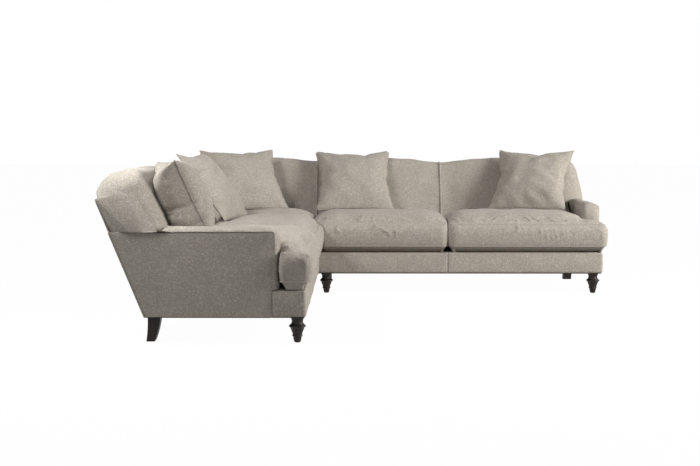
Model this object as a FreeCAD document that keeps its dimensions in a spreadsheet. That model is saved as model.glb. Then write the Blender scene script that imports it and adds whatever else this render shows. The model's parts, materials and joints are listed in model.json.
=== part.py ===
import FreeCAD, Part
import math
import os
import Sketcher

# Corner sofa, three units, millimetres, +Z up, origin on the floor under the middle of its box.
# Two equal wings meet at a square corner. The right half is modelled and the left half mirrors it
# about the corner's diagonal. A place on the right wing has three numbers: the run along the wing
# from the front plane of the other wing, the depth back from its own front plane, and the height.

SIZES = {
    "wing_length": 1792.0,
    "back_depth": 1020.0,
    "base_low": 126.0,
    "base_top": 259.0,
    "base_depth": 782.0,
    "roll_seam_inset": 5.4,
    "cover_thick": 10.0,
    "border_return": 163.0,
    "border_radius": 16.0,
    "join_gap": 0.3,
    "rail_thick": 25.0,
    "rear_rail_thick": 74.0,
    "frame_top": 250.0,
    "dust_thick": 2.0,
    "block_side": 70.0,
    "block_height": 72.0,
    "web_thick": 2.5,
    "web_width": 60.0,
    "web_pitch": 118.0,
    "platform_top": 262.0,
    "panel_thick": 8.0,
    "post_thick": 45.0,
    "post_width": 40.0,
    "post_inset": 46.0,
    "top_rail_height": 84.0,
    "roll_height": 142.0,
    "arm_thick": 110.0,
    "arm_seam_height": 545.0,
    "arm_edge_drop": 6.0,
    "arm_crown": 19.0,
    "arm_front": 129.0,
    "arm_corner_radius": 46.0,
    "arm_rail_height": 40.0,
    "arm_post_depth": 60.0,
    "arm_back_clear": 1.0,
    "face_foot_depth": 581.0,
    "face_rake": 20.7,
    "back_height": 838.0,
    "crown_setback": 63.0,
    "brow_drop": 36.0,
    "roll_mid_rise": 36.0,
    "roll_bow": 1.2,
    "back_seam": 30.0,
    "seam_dip": 40.0,
    "join_dip": 28.0,
    "gather_width": 360.0,
    "face_bow_depth": 14.0,
    "back_end_inset": 16.0,
    "back_end_round": 54.0,
    "back_end_fall": 110.0,
    "back_end_shrink": 40.0,
    "back_end_clear": 30.0,
    "seat_split": 815.0,
    "seat_overhang": 33.0,
    "seat_seam_low": 303.0,
    "seat_seam_high": 437.0,
    "seat_crown": 512.0,
    "seat_clear": 0.8,
    "rest_clear": 0.3,
    "seat_corner": 30.0,
    "seat_round": 30.0,
    "seat_under_draw": 30.0,
    "seat_front_under_draw": 62.0,
    "seat_side_draw": 2.0,
    "crown_side_draw": 150.0,
    "crown_front_draw": 150.0,
    "crown_back_draw": 330.0,
    "ear_overhang": 23.0,
    "ear_clear": 3.0,
    "ear_root": 160.0,
    "ear_round": 24.0,
    "ear_draw": 52.0,
    "ear_crown": 462.0,
    "leg_setback": 45.3,
    "leg_inset": 54.7,
    "inner_leg_inset": 48.7,
    "hidden_leg_setback": 78.0,
    "corner_leg_inset": 75.0,
    "leg_top_round": 35.0,
    "leg_neck_round": 28.0,
    "leg_neck_height": 93.5,
    "leg_ring_round": 42.7,
    "leg_ring_height": 73.0,
    "leg_ring_thick": 13.0,
    "leg_ring_step": 1.5,
    "leg_taper_round": 23.5,
    "leg_bead_height": 33.5,
    "leg_bead_round": 25.6,
    "leg_foot_top": 21.0,
    "leg_foot_round": 15.5,
    "leg_foot_step": 2.5,
    "sabre_width": 55.0,
    "sabre_inset": 66.0,
    "sabre_inner_inset": 12.0,
    "sabre_corner_inset": 82.0,
    "sabre_top_thick": 63.0,
    "sabre_top_inset": 8.0,
    "sabre_foot_thick": 40.5,
    "sabre_front_radius": 430.0,
    "sabre_back_radius": 640.0,
    "bolt_round": 4.0,
    "bolt_clear": 0.1,
    "bolt_in_leg": 34.0,
    "bolt_in_frame": 46.0,
    "coupling_height": 175.0,
    "coupling_front": 150.0,
    "coupling_back": 600.0,
    "coupling_head": 9.0,
    "coupling_head_thick": 6.0,
    "pillow_side": 500.0,
    "pillow_height": 488.0,
    "slumped_height": 425.0,
    "pillow_front_thick": 78.0,
    "pillow_back_thick": 46.0,
    "slumped_front_thick": 94.0,
    "slumped_back_thick": 72.0,
    "pillow_edge": 4.0,
    "pillow_dip": 16.0,
    "pillow_crown_draw": 172.0,
    "pillow_crown_bow": 26.0,
    "right_mid_pillow_run": 243.0,
    "right_mid_pillow_forward": 188.0,
    "right_mid_pillow_drop": 12.2,
    "right_mid_pillow_lean_angle": 38.0,
    "right_mid_pillow_turn_angle": 4.0,
    "right_end_pillow_run": 318.0,
    "right_end_pillow_forward": 262.0,
    "right_end_pillow_drop": 5.3,
    "right_end_pillow_lean_angle": 38.0,
    "right_end_pillow_turn_angle": -20.0,
    "corner_pillow_run": 432.0,
    "corner_pillow_forward": 352.0,
    "corner_pillow_drop": 0.25,
    "corner_pillow_lean_angle": 38.0,
    "corner_pillow_turn_angle": 25.0,
    "left_mid_pillow_run": 268.0,
    "left_mid_pillow_forward": 190.0,
    "left_mid_pillow_drop": 12.1,
    "left_mid_pillow_lean_angle": 37.0,
    "left_mid_pillow_turn_angle": 10.0,
    "left_end_pillow_run": 257.0,
    "left_end_pillow_forward": 122.0,
    "left_end_pillow_drop": 12.25,
    "left_end_pillow_lean_angle": 25.0,
    "left_end_pillow_turn_angle": -26.0,
}

SHEET_NAME = "Sizes"
POST_COUNT = 4
CORNER_POST_COUNT = 2
GATHER_POWER = 1.6
GATHER_STEPS = (0.06, 0.16, 0.32, 0.6, 1.0)
FACE_GATHER = 0.3
END_STEPS = 5
CROWN_STEPS = 6
PILLOW_STEPS = 6

# How much of a drop, tuck or shrink each point of the back's outline takes.
BROW_DROP = 0.9
BROW_SHRINK = 0.6
CROWN_TUCK = 0.5
CROWN_SHRINK = 0.1
SEAM_SHRINK = 0.5

# How far the back's arcs bow, as shares of the lines that they span.
SHOULDER_RISE = 0.17
SHOULDER_REACH = 0.19
BROW_BOW_REACH = 0.36
BROW_BOW_RISE = 0.78

# Shares of the turned leg's ring and neck.
RING_FOOT = 0.82
RING_ROUND = 1.05
NECK_ROUND = 0.62

# How a cushion's corners open towards its crown, and where its back is drawn in less.
CORNER_SPREAD = 0.3
CORNER_BACK_DRAW = 0.7
EAR_BACK_DRAW = 0.5
WEB_LAP = 0.4

# How a scatter cushion swells from its edge.
PILLOW_ROUNDING = 1.8
PILLOW_SPREAD = 1.15
PILLOW_BOW_RATE = 1.4

doc = FreeCAD.newDocument("corner_sofa")
sheet = doc.addObject("Spreadsheet::Sheet", SHEET_NAME)
for row, (name, number) in enumerate(SIZES.items(), start=1):
    sheet.set("A%d" % row, name)
    sheet.set("B%d" % row, str(number))
    sheet.setAlias("B%d" % row, name)
doc.recompute()


class Measure:
    """A length with its present value and the sheet expression that gives it."""

    def __init__(self, value, text):
        self.value = value
        self.text = text

    def __add__(self, other):
        other = measure(other)
        return Measure(self.value + other.value, "(%s + %s)" % (self.text, other.text))

    def __radd__(self, other):
        return measure(other) + self

    def __sub__(self, other):
        other = measure(other)
        return Measure(self.value - other.value, "(%s - %s)" % (self.text, other.text))

    def __rsub__(self, other):
        return measure(other) - self

    def __mul__(self, other):
        other = measure(other)
        return Measure(self.value * other.value, "(%s * %s)" % (self.text, other.text))

    def __rmul__(self, other):
        return measure(other) * self

    def __truediv__(self, other):
        other = measure(other)
        return Measure(self.value / other.value, "(%s / %s)" % (self.text, other.text))

    def __neg__(self):
        return Measure(-self.value, "(0 - %s)" % self.text)


def measure(thing):
    return thing if isinstance(thing, Measure) else Measure(float(thing), repr(float(thing)))


def size(name):
    return Measure(float(sheet.get(name)), "%s.%s" % (SHEET_NAME, name))


def slope(name):
    angle = size(name)
    return Measure(math.tan(math.radians(angle.value)), "tan(%s * 1 deg)" % angle.text)


wing_length = size("wing_length")
back_depth = size("back_depth")
base_low = size("base_low")
base_top = size("base_top")
cover = size("cover_thick")
join = size("join_gap")
rail = size("rail_thick")
frame_top = size("frame_top")
arm_thick = size("arm_thick")
platform_top = size("platform_top")
bolt_round = size("bolt_round")
arm_seam = size("arm_seam_height")
roll_seam = size("back_height") - size("roll_height")
top_rail_low = roll_seam - size("top_rail_height")

# The front planes of the two wings cross at this place in the sofa's own frame.
wing_reach = wing_length + size("ear_overhang")
corner_x = (back_depth - wing_reach) / 2
corner_y = (wing_reach - back_depth) / 2

# Heights and depths that several pieces share.
frame_low = base_low + size("dust_thick")
web_top = frame_top + size("web_thick")
rail_back = cover + rail
base_depth = size("base_depth")
rear_rail_front = base_depth - size("panel_thick") - size("rear_rail_thick")
arm_inner = wing_length - arm_thick
arm_frame_inner = wing_length - cover - rail
arm_edge = size("arm_seam_height") - size("arm_edge_drop")
back_slope = (back_depth - size("roll_seam_inset") - base_depth) / (roll_seam - base_low)
face_slope = slope("face_rake")


def outside_depth(height):
    return base_depth + (height - base_low) * back_slope


def panel_inner_depth(height):
    return outside_depth(height) - size("panel_thick")


def post_front_depth(height):
    return panel_inner_depth(height) - size("post_thick")


def face_depth(height):
    return size("face_foot_depth") + (height - platform_top) * face_slope


def bind(target, path, amount):
    target.setExpression(path, measure(amount).text)


def seat_at_corner(target):
    """Stand a piece that is drawn in the wing's own run, depth and height at the corner."""
    target.Placement = FreeCAD.Placement(
        FreeCAD.Vector(corner_x.value, corner_y.value, 0), FreeCAD.Rotation())
    bind(target, "Placement.Base.x", corner_x)
    bind(target, "Placement.Base.y", corner_y)
    return target


def add_box(label, run, depth, height):
    """A straight member: run, depth and height are each a (low, high) pair of measures."""
    box = doc.addObject("Part::Box", label)
    box.Label = label
    for path, (low, high) in (("Length", run), ("Width", depth), ("Height", height)):
        bind(box, path, high - low)
    bind(box, "Placement.Base.x", corner_x + run[0])
    bind(box, "Placement.Base.y", corner_y + depth[0])
    bind(box, "Placement.Base.z", height[0])
    return box


def add_rod(label, run, depth, height, radius, length, along_run=False):
    """A round rod that stands at a place, or lies along the run from it."""
    rod = doc.addObject("Part::Cylinder", label)
    rod.Label = label
    bind(rod, "Radius", radius)
    bind(rod, "Height", length)
    if along_run:
        rod.Placement = FreeCAD.Placement(FreeCAD.Vector(), FreeCAD.Rotation(FreeCAD.Vector(0, 1, 0), 90))
    bind(rod, "Placement.Base.x", corner_x + run)
    bind(rod, "Placement.Base.y", corner_y + depth)
    bind(rod, "Placement.Base.z", height)
    return rod


def add_cut(label, base, tools):
    for number, tool in enumerate(tools, start=1):
        cut = doc.addObject("Part::Cut", "%s_cut_%d" % (label, number))
        cut.Base = base
        cut.Tool = tool
        base = cut
    base.Label = label
    return base


def add_common(label, base, tool):
    common = doc.addObject("Part::Common", label + "_common")
    common.Base = base
    common.Tool = tool
    common.Label = label
    return common


def add_group(label, members):
    group = doc.addObject("Part::Compound", label + "_group")
    group.Links = members
    group.Label = label
    return group


def add_mirror(label, source):
    """The same piece on the other side of the corner's diagonal."""
    mirror = doc.addObject("Part::Mirroring", label + "_mirror")
    mirror.Source = source
    mirror.Base = FreeCAD.Vector(0, 0, 0)
    mirror.Normal = FreeCAD.Vector(1, 1, 0)
    mirror.Label = label
    return mirror


def origin_plane(body, role):
    return next(item for item in body.Origin.OriginFeatures if item.Role == role)


def arc_centre(start, end, radius):
    """Centre of the arc of this radius from start to end; a negative radius bulges the other way."""
    mid = ((start[0] + end[0]) / 2, (start[1] + end[1]) / 2)
    across = (end[0] - start[0], end[1] - start[1])
    half = math.hypot(*across) / 2
    lift = math.copysign(math.sqrt(radius * radius - half * half), radius)
    return mid[0] - across[1] / (2 * half) * lift, mid[1] + across[0] / (2 * half) * lift


def add_outline(body, name, role, points, bulges):
    """A closed sketch of measured points; bulges gives the radius of each side that is an arc."""
    sketch = body.newObject("Sketcher::SketchObject", name)
    sketch.AttachmentSupport = (origin_plane(body, role), [""])
    sketch.MapMode = "FlatFace"
    flat = [(p[0].value, p[1].value) for p in points]
    count = len(flat)
    starts = []
    ends = []
    for index, start in enumerate(flat):
        end = flat[(index + 1) % count]
        if index in bulges:
            radius = bulges[index].value
            centre = arc_centre(start, end, radius)
            first, last = (start, end) if radius > 0 else (end, start)
            low = math.atan2(first[1] - centre[1], first[0] - centre[0])
            high = math.atan2(last[1] - centre[1], last[0] - centre[0])
            high += 2 * math.pi if high < low else 0
            circle = Part.Circle(FreeCAD.Vector(*centre, 0), FreeCAD.Vector(0, 0, 1), abs(radius))
            sketch.addGeometry(Part.ArcOfCircle(circle, low, high), False)
            starts.append(1 if radius > 0 else 2)
            ends.append(2 if radius > 0 else 1)
        else:
            line = Part.LineSegment(FreeCAD.Vector(*start, 0), FreeCAD.Vector(*end, 0))
            sketch.addGeometry(line, False)
            starts.append(1)
            ends.append(2)
    for index in range(count):
        after = (index + 1) % count
        sketch.addConstraint(Sketcher.Constraint("Coincident", index, ends[index], after, starts[after]))
    for index, point in enumerate(points):
        for kind, amount in (("DistanceX", point[0]), ("DistanceY", point[1])):
            place = sketch.addConstraint(
                Sketcher.Constraint(kind, -1, 1, index, starts[index], amount.value))
            bind(sketch, "Constraints[%d]" % place, amount)
    for index, radius in bulges.items():
        place = sketch.addConstraint(Sketcher.Constraint("Radius", index, abs(radius.value)))
        bind(sketch, "Constraints[%d]" % place, radius if radius.value > 0 else -radius)
    return sketch


def add_slab(label, points, run, bulges=None):
    """A side outline in depth and height, padded from one run to the other."""
    body = doc.addObject("PartDesign::Body", label + "_body")
    body.Label = label
    sketch = add_outline(body, label + "_outline", "YZ_Plane", points, bulges or {})
    bind(sketch, "AttachmentOffset.Base.z", run[0])
    pad = body.newObject("PartDesign::Pad", label + "_pad")
    pad.Profile = sketch
    bind(pad, "Length", run[1] - run[0])
    sketch.Visibility = False
    return seat_at_corner(body)


def add_plate(label, points, height, bulges=None):
    """A plan outline in run and depth, padded from one height to the other."""
    body = doc.addObject("PartDesign::Body", label + "_body")
    body.Label = label
    sketch = add_outline(body, label + "_outline", "XY_Plane", points, bulges or {})
    bind(sketch, "AttachmentOffset.Base.z", height[0])
    pad = body.newObject("PartDesign::Pad", label + "_pad")
    pad.Profile = sketch
    bind(pad, "Length", height[1] - height[0])
    return seat_at_corner(body)


# The keeping side of the corner's mitre: a wedge in plan behind the diagonal.
def add_mitre(label, height):
    far = back_depth + cover
    points = [(-join, join), (-far, far), (-join, far)]
    return add_plate(label, points, height)


# Legs and their bolts.
def add_turned_leg(label, run, depth):
    """A turned leg with its bolt bore; the outline runs from the top outwards and down to the foot."""
    body = doc.addObject("PartDesign::Body", label + "_body")
    body.Label = label
    bore = bolt_round + size("bolt_clear")
    ring = size("leg_ring_round")
    ring_height = size("leg_ring_height")
    half_ring = size("leg_ring_thick") / 2
    bead = size("leg_bead_height")
    bead_half = (bead - size("leg_foot_top")) / 2
    points = [
        (bore, base_low),
        (size("leg_top_round"), base_low),
        (size("leg_neck_round"), size("leg_neck_height")),
        (ring, ring_height + half_ring),
        (ring, ring_height - half_ring),
        (ring * RING_FOOT, ring_height - half_ring - size("leg_ring_step")),
        (size("leg_taper_round"), bead),
        (size("leg_bead_round"), bead - bead_half),
        (size("leg_taper_round") - size("leg_foot_step"), size("leg_foot_top")),
        (size("leg_foot_round"), measure(0)),
        (measure(0), measure(0)),
        (measure(0), base_low - size("bolt_in_leg")),
        (bore, base_low - size("bolt_in_leg")),
    ]
    bulges = {1: -size("leg_neck_height") * NECK_ROUND, 3: -half_ring * RING_ROUND}
    sketch = add_outline(body, label + "_outline", "XZ_Plane", points, bulges)
    turn = body.newObject("PartDesign::Revolution", label + "_turn")
    turn.Profile = sketch
    turn.ReferenceAxis = (sketch, ["V_Axis"])
    turn.Angle = 360
    body.Placement = FreeCAD.Placement(
        FreeCAD.Vector((corner_x + run).value, (corner_y + depth).value, 0), FreeCAD.Rotation())
    bind(body, "Placement.Base.x", corner_x + run)
    bind(body, "Placement.Base.y", corner_y + depth)
    return body


def sabre_bolt_depth():
    return base_depth - size("sabre_top_inset") - size("sabre_top_thick") / 2


def add_sabre_leg(label, run):
    top_back = base_depth - size("sabre_top_inset")
    points = [
        (base_depth - size("sabre_foot_thick"), measure(0)),
        (base_depth, measure(0)),
        (top_back, base_low),
        (top_back - size("sabre_top_thick"), base_low),
    ]
    bulges = {1: -size("sabre_back_radius"), 3: size("sabre_front_radius")}
    leg = add_slab(label + "_blank", points, (run, run + size("sabre_width")), bulges)
    return add_cut(label, leg, [add_bolt_hole(label, run + size("sabre_width") / 2, sabre_bolt_depth())])


def add_bolt_hole(label, run, depth):
    low = base_low - size("bolt_in_leg")
    length = size("bolt_in_leg") + size("bolt_in_frame")
    return add_rod(label + "_bolt_hole", run, depth, low, bolt_round + size("bolt_clear"), length)


def add_hanger_bolt(label, run, depth):
    low = base_low - size("bolt_in_leg")
    return add_rod(label, run, depth, low, bolt_round, size("bolt_in_leg") + size("bolt_in_frame"))


FRONT_LEGS = [
    (size("inner_leg_inset"), size("leg_setback")),
    (wing_length - size("leg_inset"), size("leg_setback")),
]
LEFT_FRONT_LEGS = [
    (size("inner_leg_inset"), size("hidden_leg_setback")),
    (wing_length - size("leg_inset"), size("leg_setback")),
]
CORNER_LEG = (-size("corner_leg_inset"), size("corner_leg_inset"))
REAR_LEGS = [
    size("sabre_inner_inset"),
    wing_length - size("sabre_inset") - size("sabre_width"),
]
CORNER_REAR_LEGS = [
    -size("sabre_inset") - size("sabre_width"),
    size("sabre_corner_inset") - base_depth,
]
COUPLINGS = [size("coupling_front"), size("coupling_back")]


def front_leg_holes(label, legs):
    return [
        add_bolt_hole("%s_front_%d" % (label, n), run, depth)
        for n, (run, depth) in enumerate(legs)
    ]


def rear_leg_holes(label, runs):
    half = size("sabre_width") / 2
    return [
        add_bolt_hole("%s_rear_%d" % (label, n), run + half, sabre_bolt_depth())
        for n, run in enumerate(runs)
    ]


def coupling_holes(label):
    reach = rail * 2
    width = bolt_round + size("bolt_clear")
    return [
        add_rod("%s_coupling_%d" % (label, n), -rail, depth, size("coupling_height"), width, reach, True)
        for n, depth in enumerate(COUPLINGS)
    ]


# Seat frames.
def rear_rail_points():
    return [
        (rear_rail_front, frame_low),
        (panel_inner_depth(frame_low), frame_low),
        (panel_inner_depth(frame_top), frame_top),
        (rear_rail_front, frame_top),
    ]


def make_arm_unit_frame():
    whole = (join, wing_length - cover)
    high = (frame_low, frame_top)
    front = add_box("right_front_rail", whole, (cover, rail_back), high)
    rear = add_slab("right_rear_rail_blank", rear_rail_points(), whole)
    rear = add_cut("right_rear_rail", rear, rear_leg_holes("right_rear_rail", REAR_LEGS))
    middle = size("seat_split")
    runs = [(join, rail), (middle - rail / 2, middle + rail / 2), (arm_frame_inner, wing_length - cover)]
    names = ["right_inner_rail", "right_middle_rail", "right_end_rail"]
    cross = [add_box(name, run, (rail_back, rear_rail_front), high) for name, run in zip(names, runs)]
    cross[0] = add_cut("right_inner_rail_bored", cross[0], coupling_holes("right_inner_rail"))
    return {
        "right_front_rail": front,
        "right_rear_rail": rear,
        "right_cross_rails": add_group("right_cross_rails", cross),
    }


def add_block(label, run, depth, leg_run, leg_depth):
    side = size("block_side")
    top = frame_low + size("block_height")
    block = add_box(label + "_blank", (run, run + side), (depth, depth + side), (frame_low, top))
    return add_cut(label, block, [add_bolt_hole(label, leg_run, leg_depth)])


def make_corner_blocks():
    side = size("block_side")
    blocks = [add_block("corner_unit_block", -rail - side, rail, *CORNER_LEG)]
    for hand, legs in (("right", FRONT_LEGS), ("left", LEFT_FRONT_LEGS)):
        inner_leg, outer_leg = legs
        pair = [
            add_block(hand + "_inner_block", rail, rail_back, *inner_leg),
            add_block(hand + "_outer_block", arm_frame_inner - side, rail_back, *outer_leg),
        ]
        if hand == "left":
            pair = [add_mirror("left_%d_block" % n, block) for n, block in enumerate(pair)]
        blocks += pair
    return add_group("frame_corner_blocks", blocks)


def web_runs(low, high):
    """Evenly spaced bands between two runs."""
    pitch = size("web_pitch")
    width = size("web_width")
    count = int((high.value - low.value - width.value) // pitch.value) + 1
    slack = (high - low - width - pitch * (count - 1)) / 2
    return [(low + slack + pitch * n, low + slack + pitch * n + width) for n in range(count)]


def add_webbing(label, low, high):
    depth = (cover + rail * WEB_LAP, rear_rail_front + rail)
    bands = [
        add_box("%s_band_%d" % (label, n), run, depth, (frame_top, web_top))
        for n, run in enumerate(web_runs(low, high))
    ]
    return add_group(label, bands)


def add_dust_cover(label, run, depth, holes):
    sheet_box = add_box(label + "_sheet", run, depth, (base_low, frame_low))
    return add_cut(label, sheet_box, holes)


# Backs.
def add_raked_slab(label, run, low, high, front, back):
    points = [(front(low), low), (back(low), low), (back(high), high), (front(high), high)]
    return add_slab(label, points, run)


def make_posts(label, first, last, count):
    width = size("post_width")
    step = (last - first - width) / (count - 1)
    return [
        add_raked_slab(
            "%s_%d" % (label, n), (first + step * n, first + step * n + width),
            frame_top, top_rail_low, post_front_depth, panel_inner_depth)
        for n in range(count)
    ]


def vector(run, depth, height):
    return FreeCAD.Vector(run, depth, height)


def back_section(run, drop, tuck, fall=0.0, shrink=0.0):
    """One closed side outline of the back pad at a run, as lines and arcs.

    drop lowers the crown and tuck draws the face back; fall and shrink round off an end."""
    low = platform_top.value + size("rest_clear").value
    seam = roll_seam.value
    high = size("back_height").value
    full_brow = high - size("brow_drop").value
    brow = full_brow - drop * BROW_DROP - fall
    crown = high - drop - fall
    full_depth = face_depth(full_brow).value
    brow_depth = full_depth + tuck + shrink * BROW_SHRINK
    crown_depth = full_depth + size("crown_setback").value + tuck * CROWN_TUCK + shrink * CROWN_SHRINK
    waist = (low + brow) / 2
    waist_depth = (face_depth(platform_top).value + brow_depth) / 2 - size("face_bow_depth").value + tuck
    roll = seam + size("roll_mid_rise").value * (crown - seam) / size("roll_height").value
    outer = back_depth.value - shrink
    shoulder = (roll + crown) / 2 + (crown - roll) * SHOULDER_RISE
    shoulder_depth = (crown_depth + outer) / 2 + (outer - crown_depth) * SHOULDER_REACH
    seam_depth = outside_depth(roll_seam).value - shrink * SEAM_SHRINK
    inner_low = post_front_depth(platform_top).value
    inner_high = post_front_depth(roll_seam).value
    foot = vector(run, face_depth(platform_top).value + tuck, low)
    corner = vector(run, brow_depth, brow)
    top = vector(run, crown_depth, crown)
    side = vector(run, outer, roll)
    seam_point = vector(run, seam_depth, seam)
    brow_bow = vector(
        run, brow_depth + (crown_depth - brow_depth) * BROW_BOW_REACH, brow + (crown - brow) * BROW_BOW_RISE)
    roll_bow = vector(run, (outer + seam_depth) / 2 + size("roll_bow").value, (roll + seam) / 2)
    edges = [
        Part.Arc(foot, vector(run, waist_depth, waist), corner).toShape(),
        Part.Arc(corner, brow_bow, top).toShape(),
        Part.Arc(top, vector(run, shoulder_depth, shoulder), side).toShape(),
        Part.Arc(side, roll_bow, seam_point).toShape(),
        Part.LineSegment(seam_point, vector(run, inner_high, seam)).toShape(),
        Part.LineSegment(vector(run, inner_high, seam), vector(run, inner_low, low)).toShape(),
        Part.LineSegment(vector(run, inner_low, low), foot).toShape(),
    ]
    return Part.Wire(edges)


def add_soft(label, shape):
    """A soft piece, drawn in the wing's run, depth and height and then stood at the corner."""
    soft = doc.addObject("Part::Feature", label)
    soft.Shape = shape
    soft.Label = label
    soft.Placement = FreeCAD.Placement(
        FreeCAD.Vector(corner_x.value, corner_y.value, 0), FreeCAD.Rotation())
    return soft


def plain_box(run, depth, height):
    lengths = [high - low for low, high in (run, depth, height)]
    return Part.makeBox(*lengths, vector(run[0], depth[0], height[0]))


def gathered(distance, depth):
    """How far the crown is drawn down at this distance from a seam that draws it by depth."""
    return depth * max(0.0, 1 - distance / size("gather_width").value) ** GATHER_POWER


def gathered_section(run, seams):
    """A back section whose crown and face are drawn in by the nearest of these (run, depth) seams."""
    draw = max(gathered(abs(run - place), depth) for place, depth in seams)
    return back_section(run, draw, draw * FACE_GATHER)


def seam_steps(place, ways):
    reach = size("gather_width").value
    return [place + way * reach * share for way in ways for share in GATHER_STEPS]


def make_back_end_filling(end):
    """The soft filling that closes the end of the back beside the top rail."""
    low = arm_edge.value
    high = roll_seam.value
    start = wing_length.value - size("back_end_clear").value + join.value
    corners = [
        (post_front_depth(low).value - cover.value, low),
        (panel_inner_depth(low).value - join.value, low),
        (panel_inner_depth(high).value - join.value, high),
        (post_front_depth(high).value - cover.value, high),
    ]
    points = [vector(start, depth, height) for depth, height in corners + corners[:1]]
    return Part.Face(Part.makePolygon(points)).extrude(vector(end - start, 0, 0))


def make_arm_unit_back_pad():
    """Two humps with a sewn dip between them, a lesser dip at the corner and a rounded end."""
    start = -size("back_seam").value + join.value
    split = size("seat_split").value
    end = wing_length.value - size("back_end_inset").value
    rounding = size("back_end_round").value
    seams = [(start, size("join_dip").value), (split, size("seam_dip").value)]
    runs = {start, split}
    runs.update(seam_steps(start, (1,)))
    runs.update(seam_steps(split, (-1, 1)))
    sections = [gathered_section(run, seams) for run in sorted(runs)]
    for step in range(END_STEPS + 1):
        angle = math.radians(90 * step / END_STEPS)
        run = end - rounding * (1 - math.sin(angle))
        share = 1 - math.cos(angle)
        fall = size("back_end_fall").value * share
        sections.append(back_section(run, 0.0, 0.0, fall, size("back_end_shrink").value * share))
    pad = Part.makeLoft(sections, True, True).fuse(make_back_end_filling(end))
    arm_slot = plain_box(
        (arm_frame_inner.value, wing_length.value), (0, back_depth.value), (0, arm_edge.value))
    return add_soft("right_back_pad", pad.cut(arm_slot))


def make_corner_back_pad():
    start = -back_depth.value
    end = -size("back_seam").value - join.value
    seams = [(end, size("join_dip").value)]
    runs = [start] + sorted([end] + seam_steps(end, (-1,)))
    pad = Part.makeLoft([gathered_section(run, seams) for run in runs], True, True)
    far = back_depth.value + cover.value
    low = join.value / 2
    points = [vector(0, low, 0), vector(-far, far + low, 0), vector(0, far + low, 0), vector(0, low, 0)]
    mitre = Part.Face(Part.makePolygon(points)).extrude(vector(0, 0, size("back_height").value))
    return add_soft("corner_rear_back_pad", pad.common(mitre))


# Arms.
def make_arm(label):
    """The soft arm: a band over the top and front, a thick inner pad, and a hollow for frame and panel."""
    inner = arm_inner.value
    outer = wing_length.value
    low = platform_top.value + size("rest_clear").value
    seam = arm_seam.value
    top = seam + size("arm_crown").value
    front = size("arm_front").value
    radius = size("arm_corner_radius").value
    behind = size("face_bow_depth").value + size("arm_back_clear").value
    back_low = face_depth(platform_top).value - behind
    back_high = face_depth(arm_seam + size("arm_crown")).value - behind
    turn = radius * (1 - math.sqrt(0.5))
    side = Part.Wire([
        Part.LineSegment(vector(inner, front, low), vector(inner, front, top - radius)).toShape(),
        Part.Arc(
            vector(inner, front, top - radius), vector(inner, front + turn, top - turn),
            vector(inner, front + radius, top)).toShape(),
        Part.LineSegment(vector(inner, front + radius, top), vector(inner, back_high, top)).toShape(),
        Part.LineSegment(vector(inner, back_high, top), vector(inner, back_low, low)).toShape(),
        Part.LineSegment(vector(inner, back_low, low), vector(inner, front, low)).toShape(),
    ])
    profile = Part.Face(side).extrude(vector(outer - inner, 0, 0))
    edge = arm_edge.value
    across = Part.Wire([
        Part.LineSegment(vector(inner, 0, low), vector(inner, 0, edge)).toShape(),
        Part.Arc(
            vector(inner, 0, edge), vector((inner + outer) / 2, 0, top), vector(outer, 0, edge)).toShape(),
        Part.LineSegment(vector(outer, 0, edge), vector(outer, 0, low)).toShape(),
        Part.LineSegment(vector(outer, 0, low), vector(inner, 0, low)).toShape(),
    ])
    crown = Part.Face(across).extrude(vector(0, back_high, 0))
    hollow = plain_box((arm_frame_inner.value, outer), (size("border_return").value, back_high), (0, edge))
    return add_soft(label, profile.common(crown).cut(hollow))


def make_arm_frame():
    across = (arm_frame_inner, wing_length - cover)
    front = size("border_return") + cover
    depth = size("arm_post_depth")
    rail_low = arm_edge - size("arm_rail_height")
    rear = (rear_rail_front - depth, rear_rail_front)
    members = [
        add_box("right_arm_front_post", across, (front, front + depth), (frame_top, rail_low)),
        add_box("right_arm_rear_post", across, rear, (frame_top, rail_low)),
        add_box("right_arm_top_rail", across, (front, rear_rail_front), (rail_low, arm_edge)),
    ]
    return add_group("right_arm_frame", members)


def make_arm_outer_panel():
    front = size("border_return") + join
    top = arm_edge
    points = [
        (front, base_low),
        (panel_inner_depth(base_low), base_low),
        (panel_inner_depth(top), top),
        (front, top),
    ]
    return add_slab("right_arm_outer_panel", points, (wing_length - cover, wing_length))


def make_front_border():
    """The band round the front of the base, which turns its outer corner and ends under the arm."""
    turn = size("border_radius")
    end = size("border_return")
    points = [
        (join, measure(0)),
        (wing_length - turn, measure(0)),
        (wing_length, turn),
        (wing_length, end),
        (wing_length - cover, end),
        (wing_length - cover, cover),
        (join, cover),
    ]
    return add_plate("right_front_border", points, (base_low, base_top), {1: turn})


# Seat cushions.
def rounded_outline(run, depth, height, radii):
    """A closed plan outline with four round corners: radii go anticlockwise from low run, low depth."""
    corners = [(run[0], depth[0]), (run[1], depth[0]), (run[1], depth[1]), (run[0], depth[1])]
    ways = [((0, 1), (1, 0)), ((-1, 0), (0, 1)), ((0, -1), (-1, 0)), ((1, 0), (0, -1))]
    chord = 1 - math.sqrt(0.5)
    arcs = []
    for (x, y), (before, after), radius in zip(corners, ways, radii):
        start = vector(x + before[0] * radius, y + before[1] * radius, height)
        end = vector(x + after[0] * radius, y + after[1] * radius, height)
        bow_x = x + (before[0] + after[0]) * radius * chord
        bow_y = y + (before[1] + after[1]) * radius * chord
        arcs.append((start, vector(bow_x, bow_y, height), end))
    edges = []
    for index, (start, bow, end) in enumerate(arcs):
        edges.append(Part.Arc(start, bow, end).toShape())
        edges.append(Part.LineSegment(end, arcs[(index + 1) % 4][0]).toShape())
    return Part.Wire(edges)


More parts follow.
